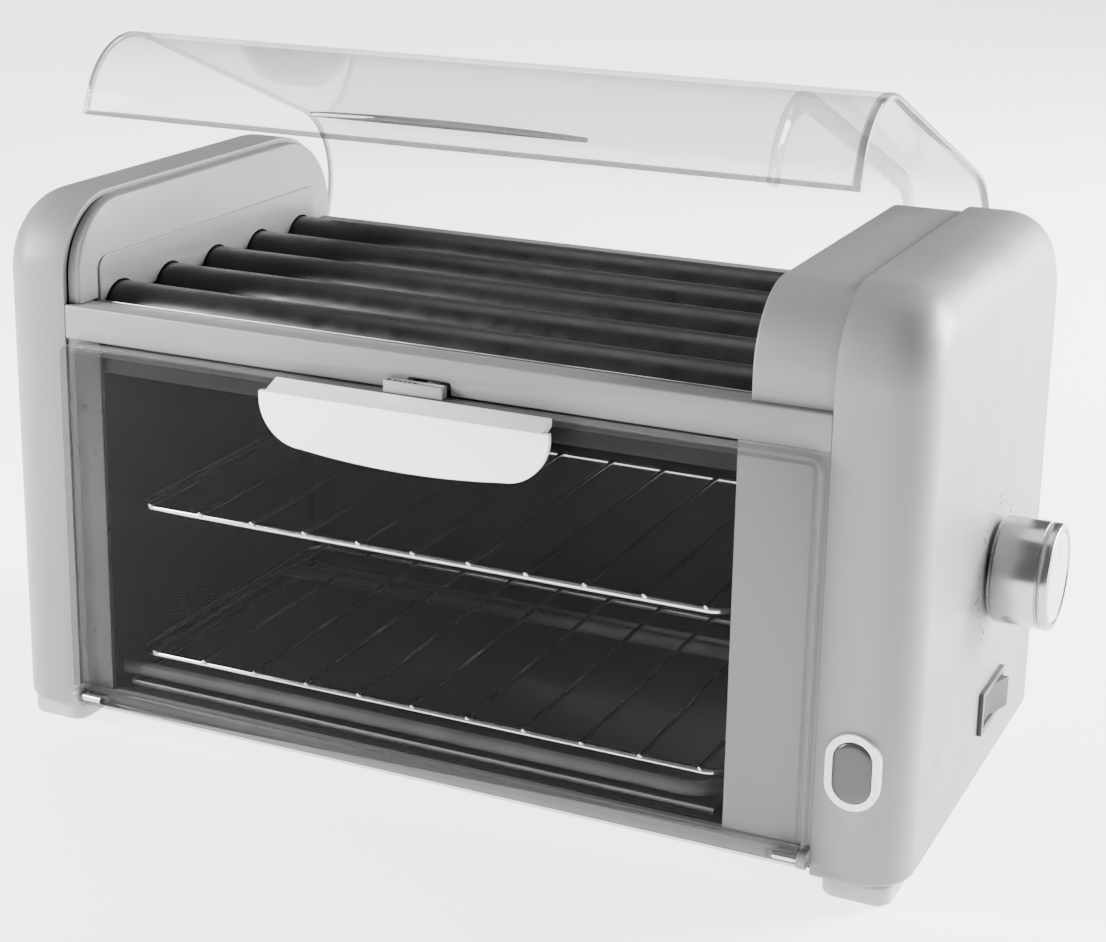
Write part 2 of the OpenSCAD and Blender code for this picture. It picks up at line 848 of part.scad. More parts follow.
module knob_face() {
  color("whitesmoke") placed()
    bar_x(knob_end - 0.8, knob_y, knob_z, 0.6, knob_r - 3.2);
}

// Rocker switch: the frame outside and the box behind it, with two pivot holes
module switch_housing() {
  half_l = rocker_l / 2;
  half_h = rocker_h / 2;
  rim = 2.6;
  depth = 20;
  color(dark) placed() translate([0, rocker_y, rocker_z]) difference() {
    union() {
      block([x_out, -half_l, -half_h], [x_out + 2, half_l, half_h]);
      block([x_out - depth, 2 - half_l, 1.5 - half_h], [x_out, half_l - 2, half_h - 1.5]);
    }
    block([x_out - depth + 2, rim + 0.4 - half_l, rim - half_h],
          [x_out + 3, half_l - rim - 0.4, half_h - rim]);
    translate([pivot_x, 0, -half_h]) cylinder(h = rocker_h, r = rocker_pin_r);
  }
}

module rocker_paddle() {
  length = rocker_l / 2 - 4;
  half_h = rocker_h / 2 - 2.9;
  pin = rocker_h / 2 - 1.5;
  color("#3a3a3c") placed() translate([pivot_x, rocker_y, rocker_z]) rotate(-rocker_tilt) {
    translate([0, 0, -half_h]) linear_extrude(2 * half_h) polygon([
      [5.5, -length], [3.6, 0], [5.5, length], [-2, length], [-5, 0], [-2, -length]]);
    translate([0, 0, -pin]) cylinder(h = 2 * pin, r = rocker_pin_r - run_gap);
  }
}

module indicator_bezel() {
  color("whitesmoke") placed() along_y(y_front - 1.4, 8)
    translate([lens_x, lens_z]) difference() {
      oval(bezel_w, bezel_h);
      oval(lens_w, lens_h);
    }
}

module indicator_lens() {
  color("gray") placed() along_y(y_front - 2.4, 8.5)
    translate([lens_x, lens_z]) oval(lens_w, lens_h);
}

module cord_gland() {
  color(dark) placed() gland_place() difference() {
    union() {
      bar_y(0, y_back - 10, 0, 13, gland_body_r);
      bar_y(0, y_back - 0.2, 0, 2, gland_body_r + 3);
    }
    bar_y(0, y_back - 11, 0, 16, gland_r);
  }
}

// Door outline from the hinge axis up to the top, with round top corners
module door_outline(margin) {
  r = 6 - margin / 2;
  low = door_z;
  high = door_top - margin;
  half = door_half - margin;
  translate([-half, low]) square([2 * half, high - low - r]);
  translate([-half + r, low]) square([2 * (half - r), high - low]);
  for (side = [-1, 1]) translate([side * (half - r), high - r]) circle(r);
}

module door_panel() {
  notch = ear_t + 0.7;
  color(clear) placed() difference() {
    union() {
      along_y(door_front, door_t) door_outline(0);
      along_y(door_front + door_t, door_rim_d) difference() {
        door_outline(0);
        door_outline(door_rim_w);
      }
      bar_x(-door_half, door_y, door_z, 2 * door_half, bead_r);
    }
    for (side = [-1, 1]) translate([side * (x_in - notch / 2), 0, 0])
      block([-notch / 2, door_front - 1, sill_z - 1], [notch / 2, y_front, door_z + 6.5]);
    for (side = [-1, 1])
      bar_x(side * (x_in - 9) - 8, door_y, door_z, 16, door_pin_r + run_gap);
    for (side = [-1, 1]) bar_y(side * post_x, door_front - 1, post_z, door_t + 2, screw_r);
  }
}

// Handle plate outline: straight top, slightly full bottom and big lower corners
module handle_outline() {
  corner = 20;
  full = 370;
  mid = handle_w / 2 - corner;
  low = handle_top - handle_h;
  sag = full - sqrt(full * full - mid * mid);
  intersection() {
    union() {
      for (side = [-1, 1]) translate([side * mid, low + sag + corner]) circle(corner);
      translate([-mid, low + sag]) square([2 * mid, handle_h]);
      intersection() {
        translate([0, low + full]) circle(full, $fn = 360);
        translate([-mid, low - 1]) square([2 * mid, sag + 2]);
      }
    }
    translate([-handle_w, low - 1]) square([2 * handle_w, handle_h + 1]);
  }
}

module door_handle() {
  flange = handle_w - 6;
  color("white") placed() difference() {
    union() {
      along_y(handle_front, panel_t) handle_outline();
      along_x(-flange / 2, flange) polygon([
        [handle_front + 0.2, handle_top - panel_t], [handle_front + 0.2, handle_top],
        [door_front, door_top], [door_front, door_top - 3.3],
        [handle_back, handle_top - panel_t]]);
      for (side = [-1, 1])
        bar_y(side * post_x, handle_back, post_z, handle_room, 4);
    }
    for (side = [-1, 1]) bar_y(side * post_x, handle_back + 1, post_z, handle_room, screw_r);
  }
}

module handle_screws() {
  color(steel) placed() for (side = [-1, 1]) {
    bar_y(side * post_x, handle_back + 1, post_z, handle_room + door_t - 1, screw_r);
    bar_y(side * post_x, door_front + door_t, post_z, 1.6, 2 * screw_r);
  }
}

module door_latch() {
  half = 13.5;
  front = y_front - 5.5;
  color("lightgray") placed() {
    block([-half, front, door_top], [half, y_front - 0.6, door_top + 5]);
    block([3, y_front - 0.6, door_top + 2.4], [8, y_front + 4, door_top + 4.4]);
  }
}

// Lid drawn closed: a sheet that follows the body's outline between the shells
module lid_closed() {
  rib_w = 3;
  rib_d = 8;
  lip_r = (lip_w * lip_w / 4 + lip_reach * lip_reach) / (2 * lip_reach);
  lip_z = rail_z + 9;
  difference() {
    union() {
      along_x(-lid_half, 2 * lid_half) lid_sheet(0, lid_t, skirt_z);
      along_x(x_cover - 0.6 - rib_w, rib_w) lid_sheet(lid_t - 0.2, lid_t + rib_d, lid_low);
      translate([0, 0, lip_z]) linear_extrude(lid_t) intersection() {
        translate([0, y_front - lip_reach + lip_r]) circle(lip_r, $fn = 360);
        translate([-lip_w / 2, y_front - lip_reach]) square([lip_w, lip_reach + 0.5]);
      }
      for (side = [-1, 1]) translate([side * hinge_span / 2 - knuckle_w / 2, 0, 0]) {
        bar_x(0, hinge_y, hinge_z, knuckle_w, knuckle_r);
        block([0, hinge_y - lid_t, hinge_z], [knuckle_w, hinge_y, skirt_z + 1]);
      }
    }
    for (side = [-1, 1])
      bar_x(side * hinge_span / 2 - knuckle_w, hinge_y, hinge_z, 2 * knuckle_w,
            lid_pin_r + run_gap);
  }
}

// Side outline of the lid between two depths below the body's outline
module lid_sheet(outer, inner, back_low) {
  intersection() {
    difference() {
      side_outline(outer);
      side_outline(inner);
    }
    union() {
      translate([y_front - 1, lid_low]) square([body_d / 2 + 1, body_h]);
      translate([-eps, back_low]) square([body_d, body_h]);
    }
  }
}

module lid() {
  color(clear) placed() translate([0, hinge_y, hinge_z]) rotate([-lid_open, 0, 0])
    translate([0, -hinge_y, -hinge_z]) lid_closed();
}

left_shell();
right_shell();
left_liner();
left_bearing_panel();
left_side_frame();
motor_cover();
gear_side_frame();
roller_bushes();
idler_pins();
front_rail();
rear_rail();
lid_hinge_pins();
lower_sill();
control_front_panel();
oven_surround();
oven_cavity();
drip_tray();
back_panel();
back_screws();
base_plate();
feet();
crumb_tray();
heater_lower();
rack_lower();
rack_upper();
rack_ledges();
roller_heaters();
drive_motor();
motor_screws();
timer_body();
switch_housing();
indicator_bezel();
indicator_lens();
cord_gland();
door_hinge_pins();
door_panel();
door_handle();
handle_screws();
door_latch();
lid();
timer_knob();
knob_face();
timer_shaft();
rocker_paddle();
motor_pinion();
for (i = [1 : ROLLERS]) roller(i);
for (i = [1 : ROLLERS]) roller_gear(i);
for (i = [1 : ROLLERS - 1]) idler_gear(i);
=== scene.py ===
import json
import math

import bmesh
import bpy
from mathutils import Matrix, Vector


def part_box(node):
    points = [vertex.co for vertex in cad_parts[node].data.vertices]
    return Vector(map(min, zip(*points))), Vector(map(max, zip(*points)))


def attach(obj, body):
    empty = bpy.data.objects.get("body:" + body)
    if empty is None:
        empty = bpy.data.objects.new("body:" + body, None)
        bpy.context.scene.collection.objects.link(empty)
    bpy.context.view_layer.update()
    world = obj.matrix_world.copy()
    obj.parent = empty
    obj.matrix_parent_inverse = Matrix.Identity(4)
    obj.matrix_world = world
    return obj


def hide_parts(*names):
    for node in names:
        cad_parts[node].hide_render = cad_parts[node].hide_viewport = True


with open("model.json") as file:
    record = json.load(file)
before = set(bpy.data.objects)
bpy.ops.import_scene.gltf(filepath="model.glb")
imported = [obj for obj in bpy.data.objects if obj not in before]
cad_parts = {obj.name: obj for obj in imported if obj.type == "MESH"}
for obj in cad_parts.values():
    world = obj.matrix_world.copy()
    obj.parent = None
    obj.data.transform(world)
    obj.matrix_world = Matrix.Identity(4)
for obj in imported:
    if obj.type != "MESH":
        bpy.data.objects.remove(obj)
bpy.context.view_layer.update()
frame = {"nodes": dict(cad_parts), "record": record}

MM = 0.001
NODES = frame["nodes"]

# ---------------------------------------------------------------- planes of the body

left_low, left_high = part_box("left_shell")
right_low, right_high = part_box("right_shell")
cover_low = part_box("motor_cover")[0]
rail_low, rail_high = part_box("front_rail")
sill_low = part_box("lower_sill")[0]

X_IN_L, X_IN_R = left_high[0], right_low[0]
X_OUT_R = right_high[0]
X_MID = (X_IN_L + X_IN_R) / 2
Y_FRONT, Y_BACK = right_low[1], right_high[1]
Z_FOOT, Z_TOP = right_low[2], right_high[2]
Z_RAIL = rail_high[2]
Y_MID = (Y_FRONT + Y_BACK) / 2

FRONT_R = 35 * MM
BACK_R = 43 * MM
EDGE_R = 20 * MM
WALL = 2.5 * MM
LID_T = 2.2 * MM

# ---------------------------------------------------------------- modelling helpers


def deselect():
    if bpy.context.object and bpy.context.object.mode != "OBJECT":
        bpy.ops.object.mode_set(mode="OBJECT")
    bpy.ops.object.select_all(action="DESELECT")


def freeze(name, scale=None):
    """Names the new primitive and puts its place, turn and size into its mesh."""
    piece = bpy.context.object
    piece.name = name
    piece.data.name = name
    if scale is not None:
        piece.scale = scale
    bpy.ops.object.transform_apply(location=True, rotation=True, scale=True)
    return piece


def add_block(name, low, high):
    deselect()
    low, high = Vector(low), Vector(high)
    bpy.ops.mesh.primitive_cube_add(size=1, location=(low + high) / 2)
    return freeze(name, high - low)


def add_round(name, centre, radius, depth, axis="Z", sides=96):
    """A round bar about one axis, with its middle at centre."""
    turn = {"X": (0, math.pi / 2, 0), "Y": (math.pi / 2, 0, 0), "Z": (0, 0, 0)}[axis]
    deselect()
    bpy.ops.mesh.primitive_cylinder_add(
        vertices=sides, radius=radius, depth=depth, location=centre, rotation=turn
    )
    return freeze(name)


def add_plate(name, centre, across, up, facing="X"):
    """A flat face that looks along X or Y, across wide and up high."""
    turn = {"X": (0, math.pi / 2, 0), "Y": (math.pi / 2, 0, 0)}[facing]
    scale = {"X": (up, across, 1), "Y": (across, up, 1)}[facing]
    deselect()
    bpy.ops.mesh.primitive_plane_add(size=1, location=centre, rotation=turn)
    return freeze(name, scale)


def pick(piece, kind, test):
    """Selects only what passes the test: faces by middle and normal, edges by their ends."""
    bpy.context.view_layer.objects.active = piece
    if bpy.context.object.mode != "EDIT":
        bpy.ops.object.mode_set(mode="EDIT")
    bpy.ops.mesh.select_mode(type=kind)
    bpy.ops.mesh.select_all(action="DESELECT")
    mesh = bmesh.from_edit_mesh(piece.data)
    if kind == "FACE":
        mesh.normal_update()
        for face in mesh.faces:
            face.select_set(bool(test(face.calc_center_median(), face.normal)))
    elif kind == "EDGE":
        for edge in mesh.edges:
            edge.select_set(bool(test(edge.verts[0].co, edge.verts[1].co)))
    else:
        for vert in mesh.verts:
            vert.select_set(bool(test(vert.co)))
    mesh.select_flush_mode()
    bmesh.update_edit_mesh(piece.data)


def near(a, b, slack=0.01 * MM):
    return abs(a - b) < slack


def push(x=0.0, y=0.0, z=0.0):
    """Extrudes the selection by that much."""
    bpy.ops.mesh.extrude_region_move(TRANSFORM_OT_translate={"value": (x, y, z)})


def bevel(width, segments, corners=False):
    bpy.ops.mesh.bevel(
        offset=width, segments=segments, profile=0.5, affect="VERTICES" if corners else "EDGES",
        clamp_overlap=True,
    )


def leave():
    """Leaves edit mode with the faces pointing outwards."""
    bpy.ops.mesh.select_mode(type="FACE")
    bpy.ops.mesh.select_all(action="SELECT")
    bpy.ops.mesh.remove_doubles(threshold=0.004 * MM)
    bpy.ops.mesh.normals_make_consistent(inside=False)
    bpy.ops.mesh.select_all(action="DESELECT")
    bpy.ops.object.mode_set(mode="OBJECT")


def apply_modifier(piece, kind, **settings):
    deselect()
    piece.select_set(True)
    bpy.context.view_layer.objects.active = piece
    modifier = piece.modifiers.new(kind.lower(), kind)
    for key, value in settings.items():
        setattr(modifier, key, value)
    bpy.ops.object.modifier_apply(modifier=modifier.name)


def soften(piece, width, segments=2, angle=35):
    """Rounds every edge sharper than the angle."""
    apply_modifier(
        piece, "BEVEL", width=width, segments=segments, limit_method="ANGLE",
        angle_limit=math.radians(angle), use_clamp_overlap=True, miter_outer="MITER_ARC",
    )


def thicken(piece, wall, offset=-1.0):
    apply_modifier(piece, "SOLIDIFY", thickness=wall, offset=offset, use_even_offset=True)


def cut(piece, *tools):
    """Cuts each tool out of the piece and deletes the tool."""
    for tool in tools:
        apply_modifier(piece, "BOOLEAN", operation="DIFFERENCE", object=tool, solver="EXACT")
        bpy.data.objects.remove(tool)


def join(piece, *others):
    deselect()
    for other in others:
        other.select_set(True)
    piece.select_set(True)
    bpy.context.view_layer.objects.active = piece
    bpy.ops.object.join()


def smooth(piece, angle=32):
    deselect()
    piece.select_set(True)
    bpy.context.view_layer.objects.active = piece
    bpy.ops.object.shade_smooth_by_angle(angle=math.radians(angle))


def second_finish(piece, material, test):
    """Gives the faces whose middle passes the test a second material."""
    piece.data.materials.append(material)
    for face in piece.data.polygons:
        face.material_index = 1 if test(face.center) else 0


def score(piece, point, normal):
    """Adds an edge line where a plane meets the piece, so that a band can take its own finish."""
    pick(piece, "VERT", lambda co: True)
    bpy.ops.mesh.bisect(plane_co=point, plane_no=normal)
    bpy.ops.mesh.select_all(action="DESELECT")
    bpy.ops.object.mode_set(mode="OBJECT")


def hand_over(piece, body, slot, material, *nodes, angle=32):
    """Finishes a piece: smooth shading, its material, its body and the nodes it stands for."""
    smooth(piece, angle)
    piece.data.materials.clear()
    piece.data.materials.append(material)
    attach(piece, body)
    if nodes:
        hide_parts(*nodes)


def copy_node(node, name, width, segments=2, angle=35):
    """A merged copy of a CAD node with its sharp edges rounded."""
    deselect()
    mesh = NODES[node].data.copy()
    mesh.name = name
    mesh.materials.clear()
    piece = bpy.data.objects.new(name, mesh)
    bpy.context.scene.collection.objects.link(piece)
    piece.select_set(True)
    bpy.context.view_layer.objects.active = piece
    bpy.ops.object.mode_set(mode="EDIT")
    bpy.ops.mesh.select_all(action="SELECT")
    bpy.ops.mesh.remove_doubles(threshold=0.002 * MM)
    bpy.ops.mesh.dissolve_limited(angle_limit=math.radians(0.5))
    bpy.ops.mesh.select_all(action="DESELECT")
    bpy.ops.object.mode_set(mode="OBJECT")
    soften(piece, width, segments, angle)
    return piece


# ---------------------------------------------------------------- material helpers


class Finish:
    """A Principled material with a few node chains that read object coordinates."""

    def __init__(self, name, colour, roughness, metallic=0.0):
        self.material = bpy.data.materials.new(name)
        self.material.use_nodes = True
        self.tree = self.material.node_tree
        self.shader = self.tree.nodes["Principled BSDF"]
        self.set("Base Color", (*colour, 1.0))
        self.set("Roughness", roughness)
        self.set("Metallic", metallic)
        self.place = self.tree.nodes.new("ShaderNodeTexCoord").outputs["Object"]
        self.height = None

    def set(self, socket, value):
        self.shader.inputs[socket].default_value = value

    def link(self, source, target):
        self.tree.links.new(source, target)

    def stretched(self, scale, centre=(0, 0, 0)):
        node = self.tree.nodes.new("ShaderNodeMapping")
        node.vector_type = "POINT"
        node.inputs["Scale"].default_value = scale
        node.inputs["Location"].default_value = [-c * s for c, s in zip(centre, scale)]
        self.link(self.place, node.inputs["Vector"])
        return node.outputs["Vector"]

    def noise(self, scale, detail=3.0, place=None, roughness=0.55):
        node = self.tree.nodes.new("ShaderNodeTexNoise")
        node.inputs["Scale"].default_value = scale
        node.inputs["Detail"].default_value = detail
        node.inputs["Roughness"].default_value = roughness
        self.link(place or self.place, node.inputs["Vector"])
        return node.outputs["Fac"]

    def spread(self, value, low, high, from_low=0.3, from_high=0.7):
        node = self.tree.nodes.new("ShaderNodeMapRange")
        node.inputs["From Min"].default_value = from_low
        node.inputs["From Max"].default_value = from_high
        node.inputs["To Min"].default_value = low
        node.inputs["To Max"].default_value = high
        self.link(value, node.inputs["Value"])
        return node.outputs["Result"]

    def colour_between(self, value, first, second):
        node = self.tree.nodes.new("ShaderNodeMix")
        node.data_type = "RGBA"
        for socket in node.inputs:
            if socket.type == "RGBA" and socket.name in "AB":
                socket.default_value = (*(first if socket.name == "A" else second), 1.0)
        self.link(value, node.inputs["Factor"])
        out = [s for s in node.outputs if s.type == "RGBA"][0]
        self.link(out, self.shader.inputs["Base Color"])

    def rough_between(self, value, low, high):
        self.link(self.spread(value, low, high), self.shader.inputs["Roughness"])

    def bump(self, value, depth, strength=1.0):
        node = self.tree.nodes.new("ShaderNodeBump")
        node.inputs["Distance"].default_value = depth
        node.inputs["Strength"].default_value = strength
        self.link(value, node.inputs["Height"])
        if self.height is not None:
            self.link(self.height, node.inputs["Normal"])
        self.height = node.outputs["Normal"]
        self.link(self.height, self.shader.inputs["Normal"])


def shade(colour, factor):
    return tuple(min(1.0, c * factor) for c in colour)


def moulded(name, colour, roughness=0.42, grain=0.018 * MM, grain_scale=1500):
    """Satin moulded plastic: fine spark grain, slow tone drift and a few rubbed patches."""
    f = Finish(name, colour, roughness)
    f.colour_between(f.spread(f.noise(9, 2), 0, 1), shade(colour, 0.965), shade(colour, 1.03))
    f.rough_between(f.noise(38, 5), roughness - 0.06, roughness + 0.07)
    f.bump(f.noise(grain_scale, 2), grain, 0.55)
    f.bump(f.noise(26, 1), 0.05 * MM, 0.18)
    f.set("Specular IOR Level", 0.45)
    return f.material


def brushed(name, colour, along, roughness=0.3, streak=2600):
    """Brushed sheet metal whose streaks run along one axis."""
    f = Finish(name, colour, roughness, 1.0)
    stretch = tuple(streak / 90 if axis == along else streak for axis in "XYZ")
    place = f.stretched(stretch)
    lines = f.noise(1.0, 4, place)
    f.rough_between(lines, roughness - 0.09, roughness + 0.12)
    f.colour_between(f.spread(lines, 0, 1), shade(colour, 0.9), shade(colour, 1.06))
    f.bump(lines, 0.012 * MM, 0.6)
    f.set("Anisotropic", 0.5)
    return f.material


def turned(name, colour, centre, roughness=0.27):
    """Lathe-turned metal about the X axis: fine rings round the centre."""
    f = Finish(name, colour, roughness, 1.0)
    place = f.stretched((1, 1, 1), centre)
    rings = f.tree.nodes.new("ShaderNodeTexWave")
    rings.wave_type = "RINGS"
    rings.rings_direction = "X"
    rings.inputs["Scale"].default_value = 900
    rings.inputs["Distortion"].default_value = 1.2
    rings.inputs["Detail"].default_value = 3
    f.link(place, rings.inputs["Vector"])
    f.rough_between(rings.outputs["Fac"], roughness - 0.06, roughness + 0.08)
    f.colour_between(f.spread(f.noise(160, 4), 0, 1), shade(colour, 0.94), shade(colour, 1.05))
    f.bump(rings.outputs["Fac"], 0.006 * MM, 0.5)
    f.set("Anisotropic", 0.6)
    return f.material


def plated(name, colour=(0.8, 0.8, 0.81), roughness=0.12):
    """Bright plated wire with faint polishing haze."""
    f = Finish(name, colour, roughness, 1.0)
    haze = f.noise(240, 5)
    f.rough_between(haze, roughness - 0.05, roughness + 0.09)
    f.colour_between(f.spread(f.noise(60, 3), 0, 1), shade(colour, 0.86), shade(colour, 1.08))
    f.bump(haze, 0.008 * MM, 0.4)
    return f.material


def enamel(name, colour, roughness=0.36, peel=0.02 * MM, gloss=0.15):
    """Sprayed dark coat with orange peel."""
    f = Finish(name, colour, roughness)
    f.colour_between(f.spread(f.noise(22, 4), 0, 1), shade(colour, 0.7), shade(colour, 1.5))
    f.rough_between(f.noise(90, 5), roughness - 0.09, roughness + 0.12)
    f.bump(f.noise(420, 2), peel, 0.1)
    f.set("Specular IOR Level", gloss)
    return f.material


def clear_plastic(name, tint, face, edge, gloss, roughness=0.035):
    """Polished clear plastic: thin from the front, denser at grazing angles and at its edges."""
    f = Finish(name, tint, roughness)
    weight = f.tree.nodes.new("ShaderNodeLayerWeight")
    weight.inputs["Blend"].default_value = 0.32
    f.link(f.spread(weight.outputs["Facing"], face, edge, 0.0, 1.0), f.shader.inputs["Alpha"])
    f.rough_between(f.noise(55, 6), roughness - 0.02, roughness + 0.05)
    f.colour_between(f.spread(f.noise(14, 2), 0, 1), shade(tint, 0.95), shade(tint, 1.04))
    f.bump(f.noise(9, 1), 0.08 * MM, 0.1)
    f.set("IOR", 1.49)
    f.set("Specular IOR Level", gloss)
    return f.material


def rubbery(name, colour, roughness=0.75):
    f = Finish(name, colour, roughness)
    f.colour_between(f.spread(f.noise(70, 5), 0, 1), shade(colour, 0.82), shade(colour, 1.15))
    f.rough_between(f.noise(300, 4), roughness - 0.1, roughness + 0.12)
    f.bump(f.noise(1800, 3), 0.03 * MM, 0.6)
    return f.material


knob_low, knob_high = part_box("timer_knob")
KNOB_AXIS = ((knob_low[0] + knob_high[0]) / 2,
             (knob_low[1] + knob_high[1]) / 2,
             (knob_low[2] + knob_high[2]) / 2)

SHELL_GREY = (0.17, 0.17, 0.17)
body_plastic = moulded("body_plastic", SHELL_GREY)
steel_x = brushed("steel_sheet", (0.56, 0.56, 0.57), "X")
white_nylon = moulded("white_nylon", (0.72, 0.71, 0.67), 0.5, 0.02 * MM, 900)
chrome_wire = plated("chrome_wire")
black_enamel = enamel("black_enamel", (0.006, 0.006, 0.0065), 0.5)
dark_satin = enamel("dark_satin", (0.03, 0.03, 0.031), 0.34, 0.008 * MM, 0.5)
foot_rubber = rubbery("foot_rubber", (0.34, 0.34, 0.34))
heater_sheath = enamel("heater_sheath", (0.07, 0.068, 0.066), 0.42, 0.03 * MM)
ceramic = moulded("ceramic", (0.76, 0.75, 0.72), 0.22, 0.008 * MM, 500)
dark_plastic = moulded("dark_plastic", (0.022, 0.022, 0.023), 0.45)
paddle_plastic = moulded("paddle_plastic", (0.02, 0.02, 0.021), 0.55)
trim_ring = moulded("trim_ring", (0.72, 0.72, 0.72), 0.26, 0.006 * MM)
latch_plastic = moulded("latch_plastic", (0.25, 0.25, 0.255), 0.34, 0.01 * MM)
handle_gloss = moulded("handle_gloss", (0.86, 0.86, 0.86), 0.16, 0.003 * MM, 300)
clear_door = clear_plastic("clear_door", (0.03, 0.03, 0.031), 0.05, 0.36, 0.12)
# A greyer, denser clear finish for the door's rim and edge bands: painted shade standing in for the
# dark grey band that refraction draws along clear plastic edges.
door_edge_painted_shade = clear_plastic("door_edge_painted_shade", (0.16, 0.16, 0.165), 0.25, 0.75, 0.6)
clear_lid = clear_plastic("clear_lid", (0.30, 0.305, 0.31), 0.035, 0.62, 0.5)
# A dark, nearly opaque clear finish: painted shade for the dark lines along the lid's edges, its
# finger lip and its knuckles.
clear_edge_painted_shade = clear_plastic("clear_edge_painted_shade", (0.03, 0.03, 0.031), 0.55, 0.95, 0.5)
clear_rib = clear_plastic("clear_rib", (0.22, 0.22, 0.225), 0.14, 0.70, 0.6)
lens_grey = moulded("lens_grey", (0.035, 0.035, 0.035), 0.24, 0.004 * MM, 300)
mark_ink = moulded("mark_ink", (0.015, 0.015, 0.015), 0.6)
crumb_steel = brushed("crumb_steel", (0.16, 0.16, 0.165), "X", 0.42)
knob_metal = turned("knob_metal", (0.34, 0.34, 0.345), KNOB_AXIS)
knob_bright = turned("knob_face", (0.72, 0.72, 0.72), KNOB_AXIS, 0.42)
roller_coat = enamel("roller_coat", (0.010, 0.010, 0.0105), 0.34, 0.01 * MM, 0.3)

SLOT_MATERIAL = {
    "body_plastic": body_plastic, "steel_sheet": steel_x, "white_nylon": white_nylon,
    "chrome_wire": chrome_wire, "black_enamel": black_enamel, "foot_rubber": foot_rubber,
    "heater_sheath": heater_sheath, "ceramic": ceramic, "dark_plastic": dark_plastic,
    "trim_ring": trim_ring, "lens": trim_ring, "clear_door": clear_door,
    "clear_lid": clear_lid, "handle_gloss": handle_gloss, "latch_plastic": latch_plastic,
    "knob_metal": knob_metal, "knob_face": knob_bright, "roller_coat": roller_coat,
}

# Every CAD node that stays gets the material of its slot.
for part in frame["record"]["subparts"]:
    node = NODES[part["node"]]
    for slot in node.material_slots:
        slot.material = SLOT_MATERIAL[part["material_slot"]]

# ---------------------------------------------------------------- end shells


def side_plate(name, x, inset, setback, bottom, segments=20):
    """The body's side outline as a flat face at X = x, with its two round top corners."""
    front, back, top = Y_FRONT + inset + setback, Y_BACK - inset, Z_TOP - inset
    piece = add_plate(
        name, (x, (front + back) / 2, (bottom + top) / 2), back - front, top - bottom
    )
    for y, radius in ((front, FRONT_R - inset), (back, BACK_R - inset)):
        pick(piece, "VERT", lambda co: near(co.y, y) and near(co.z, top))
        bevel(radius, segments, corners=True)
    return piece


def end_shell(name, x_in, x_out):
    """A deep moulded cap: outline pulled outwards, soft outer edge, hollow inside."""
    piece = side_plate(name, x_in, 0, 0, Z_FOOT)
    pick(piece, "FACE", lambda middle, normal: True)
    push(x=x_out - x_in)
    pick(piece, "EDGE", lambda a, b: near(a.x, x_out) and near(b.x, x_out)
         and not (near(a.z, Z_FOOT) and near(b.z, Z_FOOT)))
    bevel(EDGE_R, 14)
    pick(piece, "EDGE", lambda a, b: near(a.z, Z_FOOT) and near(b.z, Z_FOOT)
         and not (near(a.x, x_in) and near(b.x, x_in)))
    bevel(2 * MM, 4)
    pick(piece, "FACE", lambda middle, normal: near(middle.x, x_in) and abs(normal.x) > 0.9)
    bpy.ops.mesh.delete(type="FACE")
    leave()
    thicken(piece, WALL)
    soften(piece, 0.5 * MM, 2, 60)
    return piece


left_shell = end_shell("left_end_cap", X_IN_L, left_low[0])
hand_over(left_shell, "chassis", "body_plastic", body_plastic, "left_shell")

SHAFT_HOLE_R = 5.2 * MM
SWITCH_LAP_Y, SWITCH_LAP_Z = 2 * MM, 1 * MM
CUT_REACH = 6 * MM
right_shell = end_shell("right_end_cap", X_IN_R, X_OUT_R)
shaft_hole = add_round(
    "shaft_hole", (X_OUT_R, KNOB_AXIS[1], KNOB_AXIS[2]), SHAFT_HOLE_R, 30 * MM, "X", 48
)
switch_low, switch_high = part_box("switch_housing")
switch_hole = add_block(
    "switch_hole",
    (X_OUT_R - CUT_REACH, switch_low[1] + SWITCH_LAP_Y, switch_low[2] + SWITCH_LAP_Z),
    (X_OUT_R + CUT_REACH, switch_high[1] - SWITCH_LAP_Y, switch_high[2] - SWITCH_LAP_Z),
)
cut(right_shell, shaft_hole, switch_hole)
hand_over(right_shell, "chassis", "body_plastic", body_plastic, "right_shell")

# ---------------------------------------------------------------- roller bay covers

tube_low, tube_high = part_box("roller_1")
ROLLER_R = (tube_high[2] - tube_low[2]) / 2
ROLLER_Z = (tube_low[2] + tube_high[2]) / 2
ROLLER_YS = [sum(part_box(f"roller_{i}")[k][1] for k in (0, 1)) / 2 for i in range(1, 6)]
HOLE_R = ROLLER_R + 0.9 * MM
SEAT = LID_T + 0.3 * MM
SEAT_SETBACK = 1.5 * MM


FRAME_SIDE = 94 * MM


def bay_cover(name, x_wall, x_open, wall_low):
    """A moulded cover under the lid: its wall faces the rollers, its other side is open."""
    piece = side_plate(name, x_wall, SEAT, SEAT_SETBACK, Z_RAIL)
    pick(piece, "FACE", lambda middle, normal: True)
    push(x=x_open - x_wall)
    leave()
    pick(piece, "EDGE", lambda a, b: near(a.x, x_wall) and near(b.x, x_wall)
         and not (near(a.z, Z_RAIL) and near(b.z, Z_RAIL)))
    bevel(1.2 * MM, 3)
    pick(piece, "FACE", lambda middle, normal: near(middle.x, x_open) and abs(normal.x) > 0.9
         or normal.z < -0.9 and near(middle.z, Z_RAIL))
    bpy.ops.mesh.delete(type="FACE")
    bpy.ops.object.mode_set(mode="OBJECT")
    thicken(piece, WALL)
    inward = WALL if x_open > x_wall else -WALL
    lower = add_block(
        name + "_lower",
        (min(x_wall, x_wall + inward), -FRAME_SIDE + Y_MID, wall_low),
        (max(x_wall, x_wall + inward), FRAME_SIDE + Y_MID, Z_RAIL + 5 * MM),
    )
    apply_modifier(piece, "BOOLEAN", operation="UNION", object=lower, solver="EXACT")
    bpy.data.objects.remove(lower)
    cut(piece, *[add_round("hole", (x_wall, y, ROLLER_Z), HOLE_R, 12 * MM, "X", 64)
                 for y in ROLLER_YS])
    return piece


